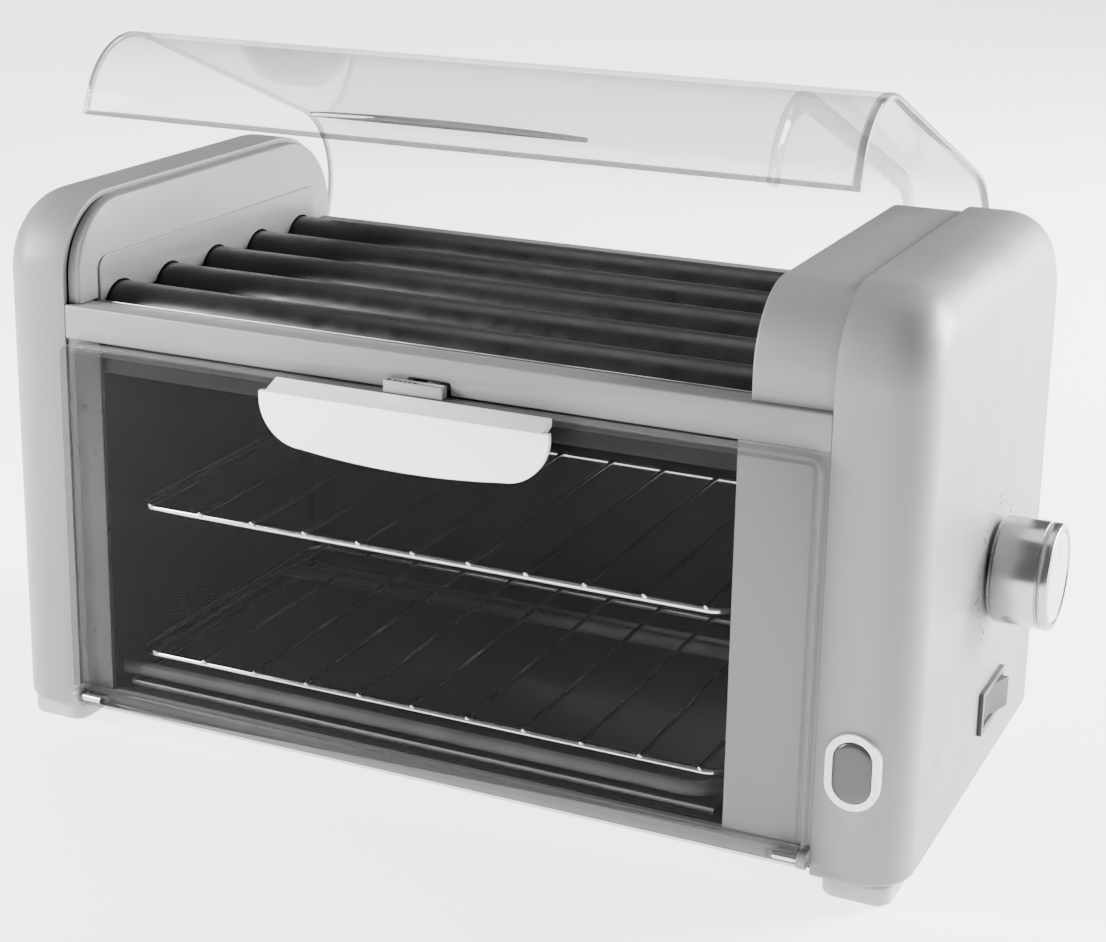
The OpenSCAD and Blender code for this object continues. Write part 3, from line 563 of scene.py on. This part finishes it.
motor_cover = bay_cover("motor_cover_shell", cover_low[0], X_IN_R, cover_low[2])
hand_over(motor_cover, "chassis", "body_plastic", body_plastic, "motor_cover")
liner_low, liner_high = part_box("left_liner")
left_liner = bay_cover("left_bay_liner", liner_high[0], X_IN_L, liner_low[2])
hand_over(left_liner, "chassis", "body_plastic", body_plastic, "left_liner")

bearing_panel = copy_node("left_bearing_panel", "left_bearing_cover", 0.35 * MM)
hand_over(bearing_panel, "chassis", "body_plastic", body_plastic, "left_bearing_panel")

# ---------------------------------------------------------------- rails, sill and panels

latch_low, latch_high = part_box("door_latch")


RAIL_FALL = 0.8 * MM
CATCH_X, CATCH_HALF, CATCH_DEEP, CATCH_HIGH = 5 * MM, 9.5 * MM, 6 * MM, 5.3 * MM


def model_front_rail():
    """The rail: its top falls a little to the back, and the catch has a notch below."""
    piece = add_block("front_bridge", rail_low, rail_high)
    pick(piece, "EDGE", lambda a, b: near(a.y, rail_high[1]) and near(b.y, rail_high[1])
         and near(a.z, rail_high[2]) and near(b.z, rail_high[2]))
    bpy.ops.transform.translate(value=(0, 0, -RAIL_FALL))
    leave()
    notch = add_block(
        "notch",
        (X_MID + CATCH_X - CATCH_HALF, rail_low[1] - MM, rail_low[2] - MM),
        (X_MID + CATCH_X + CATCH_HALF, rail_low[1] + CATCH_DEEP, rail_low[2] + CATCH_HIGH),
    )
    cut(piece, notch)
    soften(piece, 0.9 * MM, 3)
    return piece


hand_over(model_front_rail(), "chassis", "body_plastic", body_plastic, "front_rail")

for node, name, width, material in (
    ("rear_rail", "rear_bridge", 0.6, body_plastic),
    ("lower_sill", "front_sill", 0.7, body_plastic),
    ("control_front_panel", "control_panel", 0.5, body_plastic),
    ("oven_surround", "oven_left_trim", 0.5, dark_satin),
):
    hand_over(copy_node(node, name, width * MM), "chassis", "body_plastic", material, node)

hand_over(copy_node("oven_cavity", "oven_box", 0.5 * MM, 3), "chassis", "black_enamel",
          black_enamel, "oven_cavity")
hand_over(copy_node("drip_tray", "grease_tray", 0.35 * MM), "chassis", "steel_sheet",
          steel_x, "drip_tray")
hand_over(copy_node("crumb_tray", "crumb_drawer", 0.3 * MM), "chassis", "steel_sheet",
          crumb_steel, "crumb_tray")
hand_over(copy_node("base_plate", "base_pan", 0.3 * MM), "chassis", "steel_sheet",
          steel_x, "base_plate")
hand_over(copy_node("cord_gland", "mains_gland", 0.8 * MM, 3), "chassis", "dark_plastic",
          dark_plastic, "cord_gland")
hand_over(copy_node("feet", "rubber_feet", 1.6 * MM, 4), "chassis", "foot_rubber",
          foot_rubber, "feet")

# ---------------------------------------------------------------- back screws


def screw_head(name, centre, radius, height):
    """A pan head with a cross recess, its flat side towards -Y."""
    piece = add_round(name, centre, radius, height, "Y", 40)
    outer = centre[1] + height / 2
    pick(piece, "EDGE", lambda a, b: near(a.y, outer) and near(b.y, outer))
    bevel(height * 0.55, 4)
    leave()
    slots = []
    for wide, high in ((radius * 0.62, radius * 0.16), (radius * 0.16, radius * 0.62)):
        slots.append(add_block("slot", (centre[0] - wide, outer - height * 0.6, centre[2] - high),
                               (centre[0] + wide, outer + height, centre[2] + high)))
    cut(piece, *slots)
    return piece


HEAD_R, HEAD_H, SHANK_R = 3.5 * MM, 1.6 * MM, 1.5 * MM


def model_back_screws():
    low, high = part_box("back_screws")
    heads = []
    for x in (low[0] + HEAD_R, (low[0] + high[0]) / 2, high[0] - HEAD_R):
        for z in (low[2] + HEAD_R, high[2] - HEAD_R):
            head = screw_head("screw", (x, high[1] - HEAD_H / 2, z), HEAD_R, HEAD_H)
            shank = add_round("shank", (x, (low[1] + high[1]) / 2 - HEAD_H / 2, z), SHANK_R,
                              high[1] - low[1] - HEAD_H, "Y", 24)
            heads += [head, shank]
    join(heads[0], *heads[1:])
    heads[0].name = "cover_screws"
    return heads[0]


hand_over(model_back_screws(), "chassis", "chrome_wire", chrome_wire, "back_screws")

# ---------------------------------------------------------------- rollers


COLLAR_R, JOURNAL_R, COLLAR_W = 6.4 * MM, 5.0 * MM, 1.2 * MM


def model_roller(index):
    """A coated tube with rounded shoulders and a stepped journal at each end."""
    low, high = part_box(f"roller_{index}")
    left, right = liner_low[0] - 3 * MM, cover_low[0] + 5 * MM
    y, z = (low[1] + high[1]) / 2, (low[2] + high[2]) / 2
    piece = add_round(
        f"heated_roller_{index}", ((left + right) / 2, y, z), ROLLER_R, right - left, "X"
    )
    for x, end, way in ((left, low[0], -1), (right, high[0], 1)):
        pick(piece, "FACE", lambda middle, normal: near(middle.x, x) and normal.x * way > 0.9)
        bpy.ops.mesh.inset(thickness=ROLLER_R - COLLAR_R)
        push(x=way * COLLAR_W)
        bpy.ops.mesh.inset(thickness=COLLAR_R - JOURNAL_R)
        push(x=end - x - way * COLLAR_W)
    leave()
    soften(piece, 0.9 * MM, 3, 40)
    return piece


for index in range(1, 6):
    hand_over(model_roller(index), f"roller_{index}", "roller_coat", roller_coat, f"roller_{index}")

# ---------------------------------------------------------------- wire racks


def wire_loop(name, low, high, z, corner, radius):
    """A closed round wire in the shape of a rectangle with round corners."""
    deselect()
    centre = ((low[0] + high[0]) / 2, (low[1] + high[1]) / 2, z)
    bpy.ops.mesh.primitive_plane_add(size=1, location=centre)
    piece = freeze(name, (high[0] - low[0], high[1] - low[1], 1))
    pick(piece, "VERT", lambda co: True)
    bevel(corner, 8, corners=True)
    bpy.ops.mesh.select_all(action="SELECT")
    bpy.ops.mesh.delete(type="ONLY_FACE")
    bpy.ops.object.mode_set(mode="OBJECT")
    bpy.ops.object.convert(target="CURVE")
    piece = bpy.context.object
    piece.data.bevel_depth = radius
    piece.data.bevel_resolution = 5
    bpy.ops.object.convert(target="MESH")
    piece = bpy.context.object
    piece.name = name
    return piece


FRAME_WIRE_R, ROD_R = 1.6 * MM, 1.2 * MM
ROD_REACH, ROD_PITCH = 2.4 * MM, 28 * MM
RACK_CORNER = 10 * MM


def model_rack(node, name):
    """A round-cornered frame wire with cross rods laid on it."""
    low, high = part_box(node)
    z = low[2] + FRAME_WIRE_R
    loop_low = (low[0] + FRAME_WIRE_R, low[1] + ROD_REACH)
    loop_high = (high[0] - FRAME_WIRE_R, high[1] - ROD_REACH)
    piece = wire_loop(name, loop_low, loop_high, z, RACK_CORNER, FRAME_WIRE_R)
    first, last = loop_low[0] + RACK_CORNER, loop_high[0] - RACK_CORNER
    count = math.ceil((last - first) / ROD_PITCH)
    rods = []
    for i in range(count + 1):
        x = first + (last - first) * i / count
        rod = add_round("rod", (x, (low[1] + high[1]) / 2, z + FRAME_WIRE_R), ROD_R,
                        high[1] - low[1], "Y", 20)
        for y in (low[1], high[1]):
            pick(rod, "FACE", lambda middle, normal: near(middle.y, y) and abs(normal.y) > 0.9)
            bpy.ops.mesh.bevel(offset=ROD_R * 0.8, segments=4, affect="EDGES")
        leave()
        rods.append(rod)
    join(piece, *rods)
    piece.name = name
    return piece


for node, name in (("rack_lower", "lower_wire_rack"), ("rack_upper", "upper_wire_rack")):
    hand_over(model_rack(node, name), "chassis", "chrome_wire", chrome_wire, node)

# ---------------------------------------------------------------- door

door_low, door_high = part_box("door_panel")
pins_low, pins_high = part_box("door_hinge_pins")
DOOR_AXIS = ((pins_low[1] + pins_high[1]) / 2, (pins_low[2] + pins_high[2]) / 2)
DOOR_T = 2.2 * MM
RIM_W = 4 * MM
BEAD_R = 3.4 * MM
DOOR_CORNER = 6 * MM
NOTCH_W, NOTCH_TOP = 4.4 * MM, 6.5 * MM
BORE_R, BORE_MID, BORE_LEN = 1.81 * MM, 9 * MM, 16 * MM
EDGE_BAND = 0.8 * MM


def model_door():
    """One clear moulding: a plate with a raised rim behind it and a hinge bead below."""
    bottom = DOOR_AXIS[1]
    centre = ((door_low[0] + door_high[0]) / 2, door_low[1], (bottom + door_high[2]) / 2)
    piece = add_plate("clear_oven_door", centre, door_high[0] - door_low[0],
                      door_high[2] - bottom, "Y")
    pick(piece, "VERT", lambda co: near(co.z, door_high[2]))
    bevel(DOOR_CORNER, 8, corners=True)
    pick(piece, "FACE", lambda middle, normal: True)
    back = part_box("door_panel")[1][1]
    push(y=back - door_low[1])
    leave()
    pick(piece, "FACE", lambda middle, normal: near(middle.y, back) and abs(normal.y) > 0.9)
    bpy.ops.mesh.inset(thickness=RIM_W)
    push(y=door_low[1] + DOOR_T - back)
    leave()
    soften(piece, 0.6 * MM, 3)
    bead = add_round("bead", (centre[0], DOOR_AXIS[0], bottom), BEAD_R,
                     door_high[0] - door_low[0], "X", 32)
    apply_modifier(piece, "BOOLEAN", operation="UNION", object=bead, solver="EXACT")
    bpy.data.objects.remove(bead)
    tools = []
    for side, x in ((-1, X_IN_L), (1, X_IN_R)):
        inner = x - side * NOTCH_W
        tools.append(add_block(
            "notch", (min(x, inner) - MM * (side < 0), door_low[1] - MM, sill_low[2] - MM),
            (max(x, inner) + MM * (side > 0), Y_FRONT, bottom + NOTCH_TOP)))
        tools.append(add_round("bore", (x - side * BORE_MID, DOOR_AXIS[0], bottom), BORE_R,
                               BORE_LEN, "X", 32))
    cut(piece, *tools)
    return piece


door = model_door()
hand_over(door, "door", "clear_door", clear_door, "door_panel")
# The rim and thin bands along the door's top and sides take the denser edge finish: painted shade
# of the clear edges.
second_finish(door, door_edge_painted_shade, lambda middle: middle.y > door_low[1] + DOOR_T + 0.3 * MM
              or middle.z > door_high[2] - EDGE_BAND
              or middle.x < door_low[0] + EDGE_BAND or middle.x > door_high[0] - EDGE_BAND)
hand_over(copy_node("door_handle", "door_grip", 0.7 * MM, 3), "door", "handle_gloss",
          handle_gloss, "door_handle")


def model_latch():
    """The catch on the door's top edge: a low block with finger ribs and a tongue behind."""
    piece = add_block("door_catch", latch_low, (latch_high[0], Y_FRONT - 0.6 * MM, latch_high[2]))
    pick(piece, "FACE", lambda middle, normal: normal.z > 0.9)
    bpy.ops.mesh.inset(thickness=1.1 * MM)
    push(z=-0.7 * MM)
    leave()
    soften(piece, 0.4 * MM, 2)
    ribs = []
    for i in range(5):
        x = latch_low[0] + (i + 1.5) * 2.2 * MM
        ribs.append(add_block("rib", (x, latch_low[1] + 1.4 * MM, latch_high[2] - 1.4 * MM),
                              (x + 1.0 * MM, Y_FRONT - 2 * MM, latch_high[2] - 0.1 * MM)))
    tongue = add_block("tongue", (X_MID + 3 * MM, Y_FRONT - 1.2 * MM, latch_low[2] + 2.4 * MM),
                       (X_MID + 8 * MM, latch_high[1], latch_low[2] + 4.4 * MM))
    for part in ribs + [tongue]:
        soften(part, 0.25 * MM, 2)
    join(piece, *ribs, tongue)
    return piece


hand_over(model_latch(), "door", "latch_plastic", latch_plastic, "door_latch")

# ---------------------------------------------------------------- lid

LID_OPEN = math.radians(21.3)
hinge = next(j for j in frame["record"]["behaviour"]["joints"] if j["name"] == "lid_hinge")
HINGE = Vector(hinge["pos_m"])
LID_LOW = Z_RAIL + 0.6 * MM
LID_SKIRT = HINGE.z + 5 * MM
LID_L, LID_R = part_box("lid")[0][0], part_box("lid")[1][0]
# Widths of the lid's right, front and left bands that take the painted edge shade.
LID_BAND = 3.5 * MM
LID_FRONT_SHADE_BAND = 2.2 * MM
LID_END = 2 * MM


def model_lid():
    """A clear sheet bent to the body's outline; its rib, finger lip and two knuckles are pieces of
    their own.
    """
    piece = side_plate("clear_lid", LID_L, 0, 0, LID_SKIRT, 24)
    pick(piece, "FACE", lambda middle, normal: True)
    push(x=LID_R - LID_L)
    leave()
    pick(piece, "FACE", lambda middle, normal: abs(normal.x) > 0.9 or normal.z < -0.9)
    bpy.ops.mesh.delete(type="FACE")
    pick(piece, "VERT", lambda co: near(co.z, LID_SKIRT) and near(co.y, Y_FRONT))
    bpy.ops.transform.translate(value=(0, 0, LID_LOW - LID_SKIRT))
    leave()
    thicken(piece, LID_T)
    soften(piece, 0.5 * MM, 2, 60)
    return piece


def model_lid_rib():
    """The stiffening rib inside the lid, just left of the motor cover."""
    x = cover_low[0] - 0.6 * MM
    outer = side_plate("lid_rib", x - 3 * MM, LID_T - 0.2 * MM, 0, LID_LOW, 24)
    pick(outer, "FACE", lambda middle, normal: True)
    push(x=3 * MM)
    leave()
    inner = side_plate("lid_rib_hollow", x - 5 * MM, LID_T + 8 * MM, 0, LID_LOW - 5 * MM, 24)
    pick(inner, "FACE", lambda middle, normal: True)
    push(x=7 * MM)
    leave()
    cut(outer, inner)
    soften(outer, 0.4 * MM, 2)
    return outer


LIP_REACH, LIP_WIDTH, LIP_RISE = 7.5 * MM, 122 * MM, 9 * MM


def model_lid_lip():
    """The finger lip: a shallow arc of the same sheet on the lid's front."""
    radius = (LIP_WIDTH * LIP_WIDTH / 4 + LIP_REACH * LIP_REACH) / (2 * LIP_REACH)
    z = Z_RAIL + LIP_RISE
    deselect()
    bpy.ops.mesh.primitive_cylinder_add(
        vertices=720, radius=radius, depth=LID_T,
        location=(X_MID, Y_FRONT - LIP_REACH + radius, z + LID_T / 2))
    piece = freeze("lid_finger_lip")
    pick(piece, "VERT", lambda co: True)
    bpy.ops.mesh.bisect(plane_co=(0, Y_FRONT + 0.5 * MM, 0), plane_no=(0, 1, 0), clear_outer=True,
                        use_fill=True)
    leave()
    soften(piece, 0.6 * MM, 3, 50)
    return piece


EYE_R, EYE_W, EYE_BORE_R, EYE_INSET = 4.5 * MM, 8 * MM, 2.06 * MM, 7.4 * MM


def model_lid_knuckles():
    """Two hinge eyes joined to the lid's skirt, bored for their pins."""
    parts = []
    pin_low, pin_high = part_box("lid_hinge_pins")
    for x in (pin_low[0] + EYE_INSET, pin_high[0] - EYE_INSET):
        eye = add_round("knuckle", (x, HINGE.y, HINGE.z), EYE_R, EYE_W, "X", 48)
        web = add_block("web", (x - EYE_W / 2, HINGE.y - LID_T, HINGE.z),
                        (x + EYE_W / 2, HINGE.y, LID_SKIRT + MM))
        apply_modifier(eye, "BOOLEAN", operation="UNION", object=web, solver="EXACT")
        bpy.data.objects.remove(web)
        cut(eye, add_round("bore", (x, HINGE.y, HINGE.z), EYE_BORE_R, 2 * EYE_W, "X", 48))
        soften(eye, 0.4 * MM, 2, 50)
        parts.append(eye)
    join(parts[0], *parts[1:])
    parts[0].name = "lid_knuckles"
    return parts[0]


swing = (Matrix.Translation(HINGE) @ Matrix.Rotation(-LID_OPEN, 4, "X")
         @ Matrix.Translation(-HINGE))
lid = model_lid()
# The finger lip and the knuckles take the dark edge finish all over: painted shade of thick clear
# plastic.
for piece, material in ((lid, clear_lid), (model_lid_rib(), clear_rib),
                        (model_lid_lip(), clear_edge_painted_shade), (model_lid_knuckles(), clear_edge_painted_shade)):
    if piece is lid:
        score(piece, (LID_R - LID_BAND, 0, 0), (1, 0, 0))
        score(piece, (LID_L + LID_END, 0, 0), (1, 0, 0))
        score(piece, (0, 0, LID_LOW + LID_FRONT_SHADE_BAND), (0, 0, 1))
    piece.data.transform(swing)
    hand_over(piece, "lid", "clear_lid", material)
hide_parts("lid")
closing = swing.inverted()
# The end bands and the front band take the dark edge finish: painted shade along the lid's edges.
second_finish(lid, clear_edge_painted_shade, lambda middle: middle.x > LID_R - LID_BAND
              or middle.x < LID_L + LID_END
              or (closing @ middle).z < LID_LOW + LID_FRONT_SHADE_BAND and (closing @ middle).y < Y_MID)

# ---------------------------------------------------------------- knob, dial and rocker


def lathe(name, profile, centre, steps=128):
    """Spins a profile of (x, radius) points once round the X axis through the centre."""
    deselect()
    mesh = bpy.data.meshes.new(name)
    points = [(centre[0] + x, centre[1], centre[2] + radius) for x, radius in profile]
    mesh.from_pydata(points, [(i, i + 1) for i in range(len(points) - 1)], [])
    piece = bpy.data.objects.new(name, mesh)
    bpy.context.scene.collection.objects.link(piece)
    piece.select_set(True)
    bpy.context.view_layer.objects.active = piece
    bpy.ops.object.mode_set(mode="EDIT")
    bpy.ops.mesh.select_all(action="SELECT")
    bpy.ops.mesh.spin(steps=steps, angle=2 * math.pi, center=centre, axis=(1, 0, 0))
    leave()
    return piece


KNOB_R = (knob_high[2] - knob_low[2]) / 2
KNOB_LEN = knob_high[0] - knob_low[0]
KNOB_BASE = (knob_low[0], KNOB_AXIS[1], KNOB_AXIS[2])


def model_knob():
    """A turned cap: foot ring, straight skirt, groove, bright chamfer and a dished face."""
    groove = KNOB_LEN - 5.5 * MM
    profile = [(0, 0), (0, KNOB_R - 1.6 * MM), (1.0 * MM, KNOB_R - 1.6 * MM),
               (1.5 * MM, KNOB_R - 0.3 * MM), (1.9 * MM, KNOB_R), (groove, KNOB_R),
               (groove + 0.3 * MM, KNOB_R - 0.65 * MM), (groove + 0.9 * MM, KNOB_R - 0.65 * MM),
               (groove + 1.2 * MM, KNOB_R), (KNOB_LEN - 1.7 * MM, KNOB_R),
               (KNOB_LEN - 0.5 * MM, KNOB_R - 0.5 * MM), (KNOB_LEN, KNOB_R - 1.8 * MM),
               (KNOB_LEN, KNOB_R - 3.0 * MM), (KNOB_LEN - 0.8 * MM, KNOB_R - 3.3 * MM),
               (KNOB_LEN - 0.8 * MM, 0)]
    piece = lathe("timer_dial_knob", profile, KNOB_BASE)
    soften(piece, 0.12 * MM, 2, 25)
    return piece


def model_knob_disc():
    """The satin disc on the knob's face, a little crowned, with a pointer mark cut in."""
    radius = KNOB_R - 3.5 * MM
    start = KNOB_LEN - 0.8 * MM
    profile = [(start, radius), (start + 0.25 * MM, radius - 0.1 * MM),
               (start + 0.45 * MM, radius * 0.7), (start + 0.55 * MM, radius * 0.35),
               (start + 0.6 * MM, 0)]
    piece = lathe("knob_disc", profile, KNOB_BASE, 96)
    rim_x = knob_low[0] + start
    pick(piece, "EDGE", lambda a, b: near(a.x, rim_x) and near(b.x, rim_x))
    bpy.ops.mesh.edge_face_add()
    leave()
    mark = add_block(
        "mark", (knob_high[0] - 0.7 * MM, KNOB_AXIS[1] - 0.7 * MM, KNOB_AXIS[2] + 6 * MM),
        (knob_high[0] + MM, KNOB_AXIS[1] + 0.7 * MM, KNOB_AXIS[2] + radius - 2.5 * MM))
    cut(piece, mark)
    return piece


hand_over(model_knob(), "knob", "knob_metal", knob_metal, "timer_knob")
hand_over(model_knob_disc(), "knob", "knob_face", knob_bright, "knob_face")


DIAL_MARKS, DIAL_STEP, DIAL_SWEEP = 31, 5, 300
DIAL_GAP = 5.5 * MM


def model_dial_marks():
    """Printed dots and longer ticks round the knob, a whisker proud of the shell."""
    marks = []
    ring = KNOB_R + DIAL_GAP
    for i in range(DIAL_MARKS):
        angle = math.radians(DIAL_SWEEP * (i / (DIAL_MARKS - 1) - 0.5))
        y = KNOB_AXIS[1] + ring * math.sin(angle)
        z = KNOB_AXIS[2] + ring * math.cos(angle)
        major = i % DIAL_STEP == 0
        dot = add_round("dot", (X_OUT_R + 0.04 * MM, y, z), (0.85 if major else 0.5) * MM,
                        0.12 * MM, "X", 20)
        pick(dot, "EDGE", lambda a, b: near(a.x, b.x, 0.001 * MM) and a.x > X_OUT_R + 0.05 * MM)
        bevel(0.03 * MM, 1)
        leave()
        marks.append(dot)
        if major:
            long_ring = ring + 3.2 * MM
            tick = add_block("tick", (X_OUT_R - 0.02 * MM, -0.28 * MM, -1.2 * MM),
                             (X_OUT_R + 0.1 * MM, 0.28 * MM, 1.2 * MM))
            tick.data.transform(Matrix.Translation(
                (0, KNOB_AXIS[1] + long_ring * math.sin(angle),
                 KNOB_AXIS[2] + long_ring * math.cos(angle))) @ Matrix.Rotation(-angle, 4, "X"))
            marks.append(tick)
    join(marks[0], *marks[1:])
    marks[0].name = "dial_marks"
    return marks[0]


hand_over(model_dial_marks(), "chassis", "dark_plastic", mark_ink)

hand_over(copy_node("switch_housing", "rocker_frame", 0.5 * MM, 3), "chassis", "dark_plastic",
          dark_plastic, "switch_housing")
hand_over(copy_node("rocker_paddle", "rocker_key", 0.45 * MM, 3), "rocker", "dark_plastic",
          paddle_plastic, "rocker_paddle")

# ---------------------------------------------------------------- indicator


def oval_plate(name, low, high, y):
    """A flat upright oval with straight sides, facing the front."""
    width, height = high[0] - low[0], high[2] - low[2]
    centre = ((low[0] + high[0]) / 2, y, (low[2] + high[2]) / 2)
    piece = add_plate(name, centre, width, height, "Y")
    pick(piece, "VERT", lambda co: True)
    bevel(width / 2 - 0.02 * MM, 20, corners=True)
    leave()
    return piece


BEZEL_DEPTH, BEZEL_RIM, BEZEL_RECESS = 6 * MM, 2.95 * MM, 3 * MM


def model_bezel():
    """The light ring round the lens, with a recess for it."""
    low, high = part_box("indicator_bezel")
    piece = oval_plate("indicator_ring", low, high, low[1])
    pick(piece, "FACE", lambda middle, normal: True)
    push(y=BEZEL_DEPTH)
    leave()
    pick(piece, "FACE", lambda middle, normal: near(middle.y, low[1]))
    bpy.ops.mesh.inset(thickness=BEZEL_RIM)
    push(y=BEZEL_RECESS)
    leave()
    soften(piece, 1.0 * MM, 4)
    return piece


# The dome's rings: each steps in and forward by so many millimetres.
LENS_SETBACK, LENS_DEPTH = 1.6 * MM, 4 * MM
DOME_STEPS = ((0.3, 0.6), (0.7, 0.5), (1.2, 0.3), (1.8, 0.15), (2.4, 0.06))


def model_lens():
    """A domed oval lens that stands a little out of its ring."""
    low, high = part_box("indicator_lens")
    front = low[1] + LENS_SETBACK
    piece = oval_plate("indicator_dome", low, high, front)
    pick(piece, "FACE", lambda middle, normal: True)
    push(y=LENS_DEPTH)
    leave()
    pick(piece, "FACE", lambda middle, normal: near(middle.y, front) and normal.y < -0.9)
    width, height = high[0] - low[0], high[2] - low[2]
    for inset, rise in DOME_STEPS:
        push(y=-rise * MM)
        bpy.ops.transform.resize(
            value=(1 - 2 * inset * MM / width, 1, 1 - 2 * inset * MM / height))
    bpy.ops.mesh.select_all(action="DESELECT")
    leave()
    return piece


hand_over(model_bezel(), "chassis", "trim_ring", trim_ring, "indicator_bezel")
hand_over(model_lens(), "chassis", "lens", lens_grey, "indicator_lens")

# ---------------------------------------------------------------- camera, light and floor

CAMERA_AT = Vector((0.3982, -0.8850, 0.4455))
CAMERA_TURN = math.radians(25.21)
CAMERA_DROP = math.radians(15.91)
CAMERA_ROLL = math.radians(0.79)
CAMERA_LENS = 73.4
CAMERA_SHIFT = (0.0298, -0.0913)
SENSOR_WIDTH = 36


def add_camera():
    data = bpy.data.cameras.new("camera")
    data.lens = CAMERA_LENS
    data.sensor_width = SENSOR_WIDTH
    data.shift_x, data.shift_y = CAMERA_SHIFT
    camera = bpy.data.objects.new("camera", data)
    bpy.context.scene.collection.objects.link(camera)
    look = Vector((-math.sin(CAMERA_TURN) * math.cos(CAMERA_DROP),
                   math.cos(CAMERA_TURN) * math.cos(CAMERA_DROP),
                   -math.sin(CAMERA_DROP)))
    turn = look.to_track_quat("-Z", "Y").to_matrix().to_4x4()
    roll = Matrix.Rotation(CAMERA_ROLL, 4, "Z")
    camera.matrix_world = Matrix.Translation(CAMERA_AT) @ turn @ roll
    bpy.context.scene.camera = camera


def add_softbox(name, place, aim, size, power):
    data = bpy.data.lights.new(name, "AREA")
    data.shape = "RECTANGLE"
    data.size, data.size_y = size
    data.energy = power
    lamp = bpy.data.objects.new(name, data)
    bpy.context.scene.collection.objects.link(lamp)
    lamp.location = place
    lamp.rotation_euler = (Vector(aim) - Vector(place)).to_track_quat("-Z", "Y").to_euler()


ROOM_LIGHT = 0.3
FLOOR_GLOW = 2.6
FLOOR_SIZE = 60
PAPER, PAPER_LIGHT = (0.9, 0.9, 0.9), (0.93, 0.93, 0.93)
AIM_HEIGHT = 0.12
# Each lamp: its name, its place, the point it looks at, its two sizes in metres and its watts.
SOFTBOXES = (
    ("overhead", (0.0, 0.5, 1.7), (0, 0, AIM_HEIGHT), (1.8, 1.0), 15),
    ("left_key", (-0.85, -0.6, 0.5), (-0.32, 0, AIM_HEIGHT), (0.4, 0.4), 28),
    ("right_side", (1.5, 1.4, 0.7), (0, 0, AIM_HEIGHT), (0.9, 1.2), 270),
)


def add_studio():
    world = bpy.data.worlds.new("studio")
    world.use_nodes = True
    glow = world.node_tree.nodes["Background"]
    glow.inputs["Color"].default_value = (1, 1, 1, 1)
    glow.inputs["Strength"].default_value = ROOM_LIGHT
    bpy.context.scene.world = world
    for name, place, aim, size, power in SOFTBOXES:
        add_softbox(name, place, aim, size, power)
    deselect()
    bpy.ops.mesh.primitive_plane_add(size=FLOOR_SIZE, location=(0, 0, 0))
    floor = freeze("studio_floor")
    paper = Finish("paper", PAPER, 0.9)
    paper.colour_between(paper.spread(paper.noise(3, 3), 0, 1), PAPER, PAPER_LIGHT)
    paper.set("Emission Color", (1.0, 1.0, 1.0, 1.0))
    paper.set("Emission Strength", FLOOR_GLOW)
    floor.data.materials.append(paper.material)


add_camera()
add_studio()
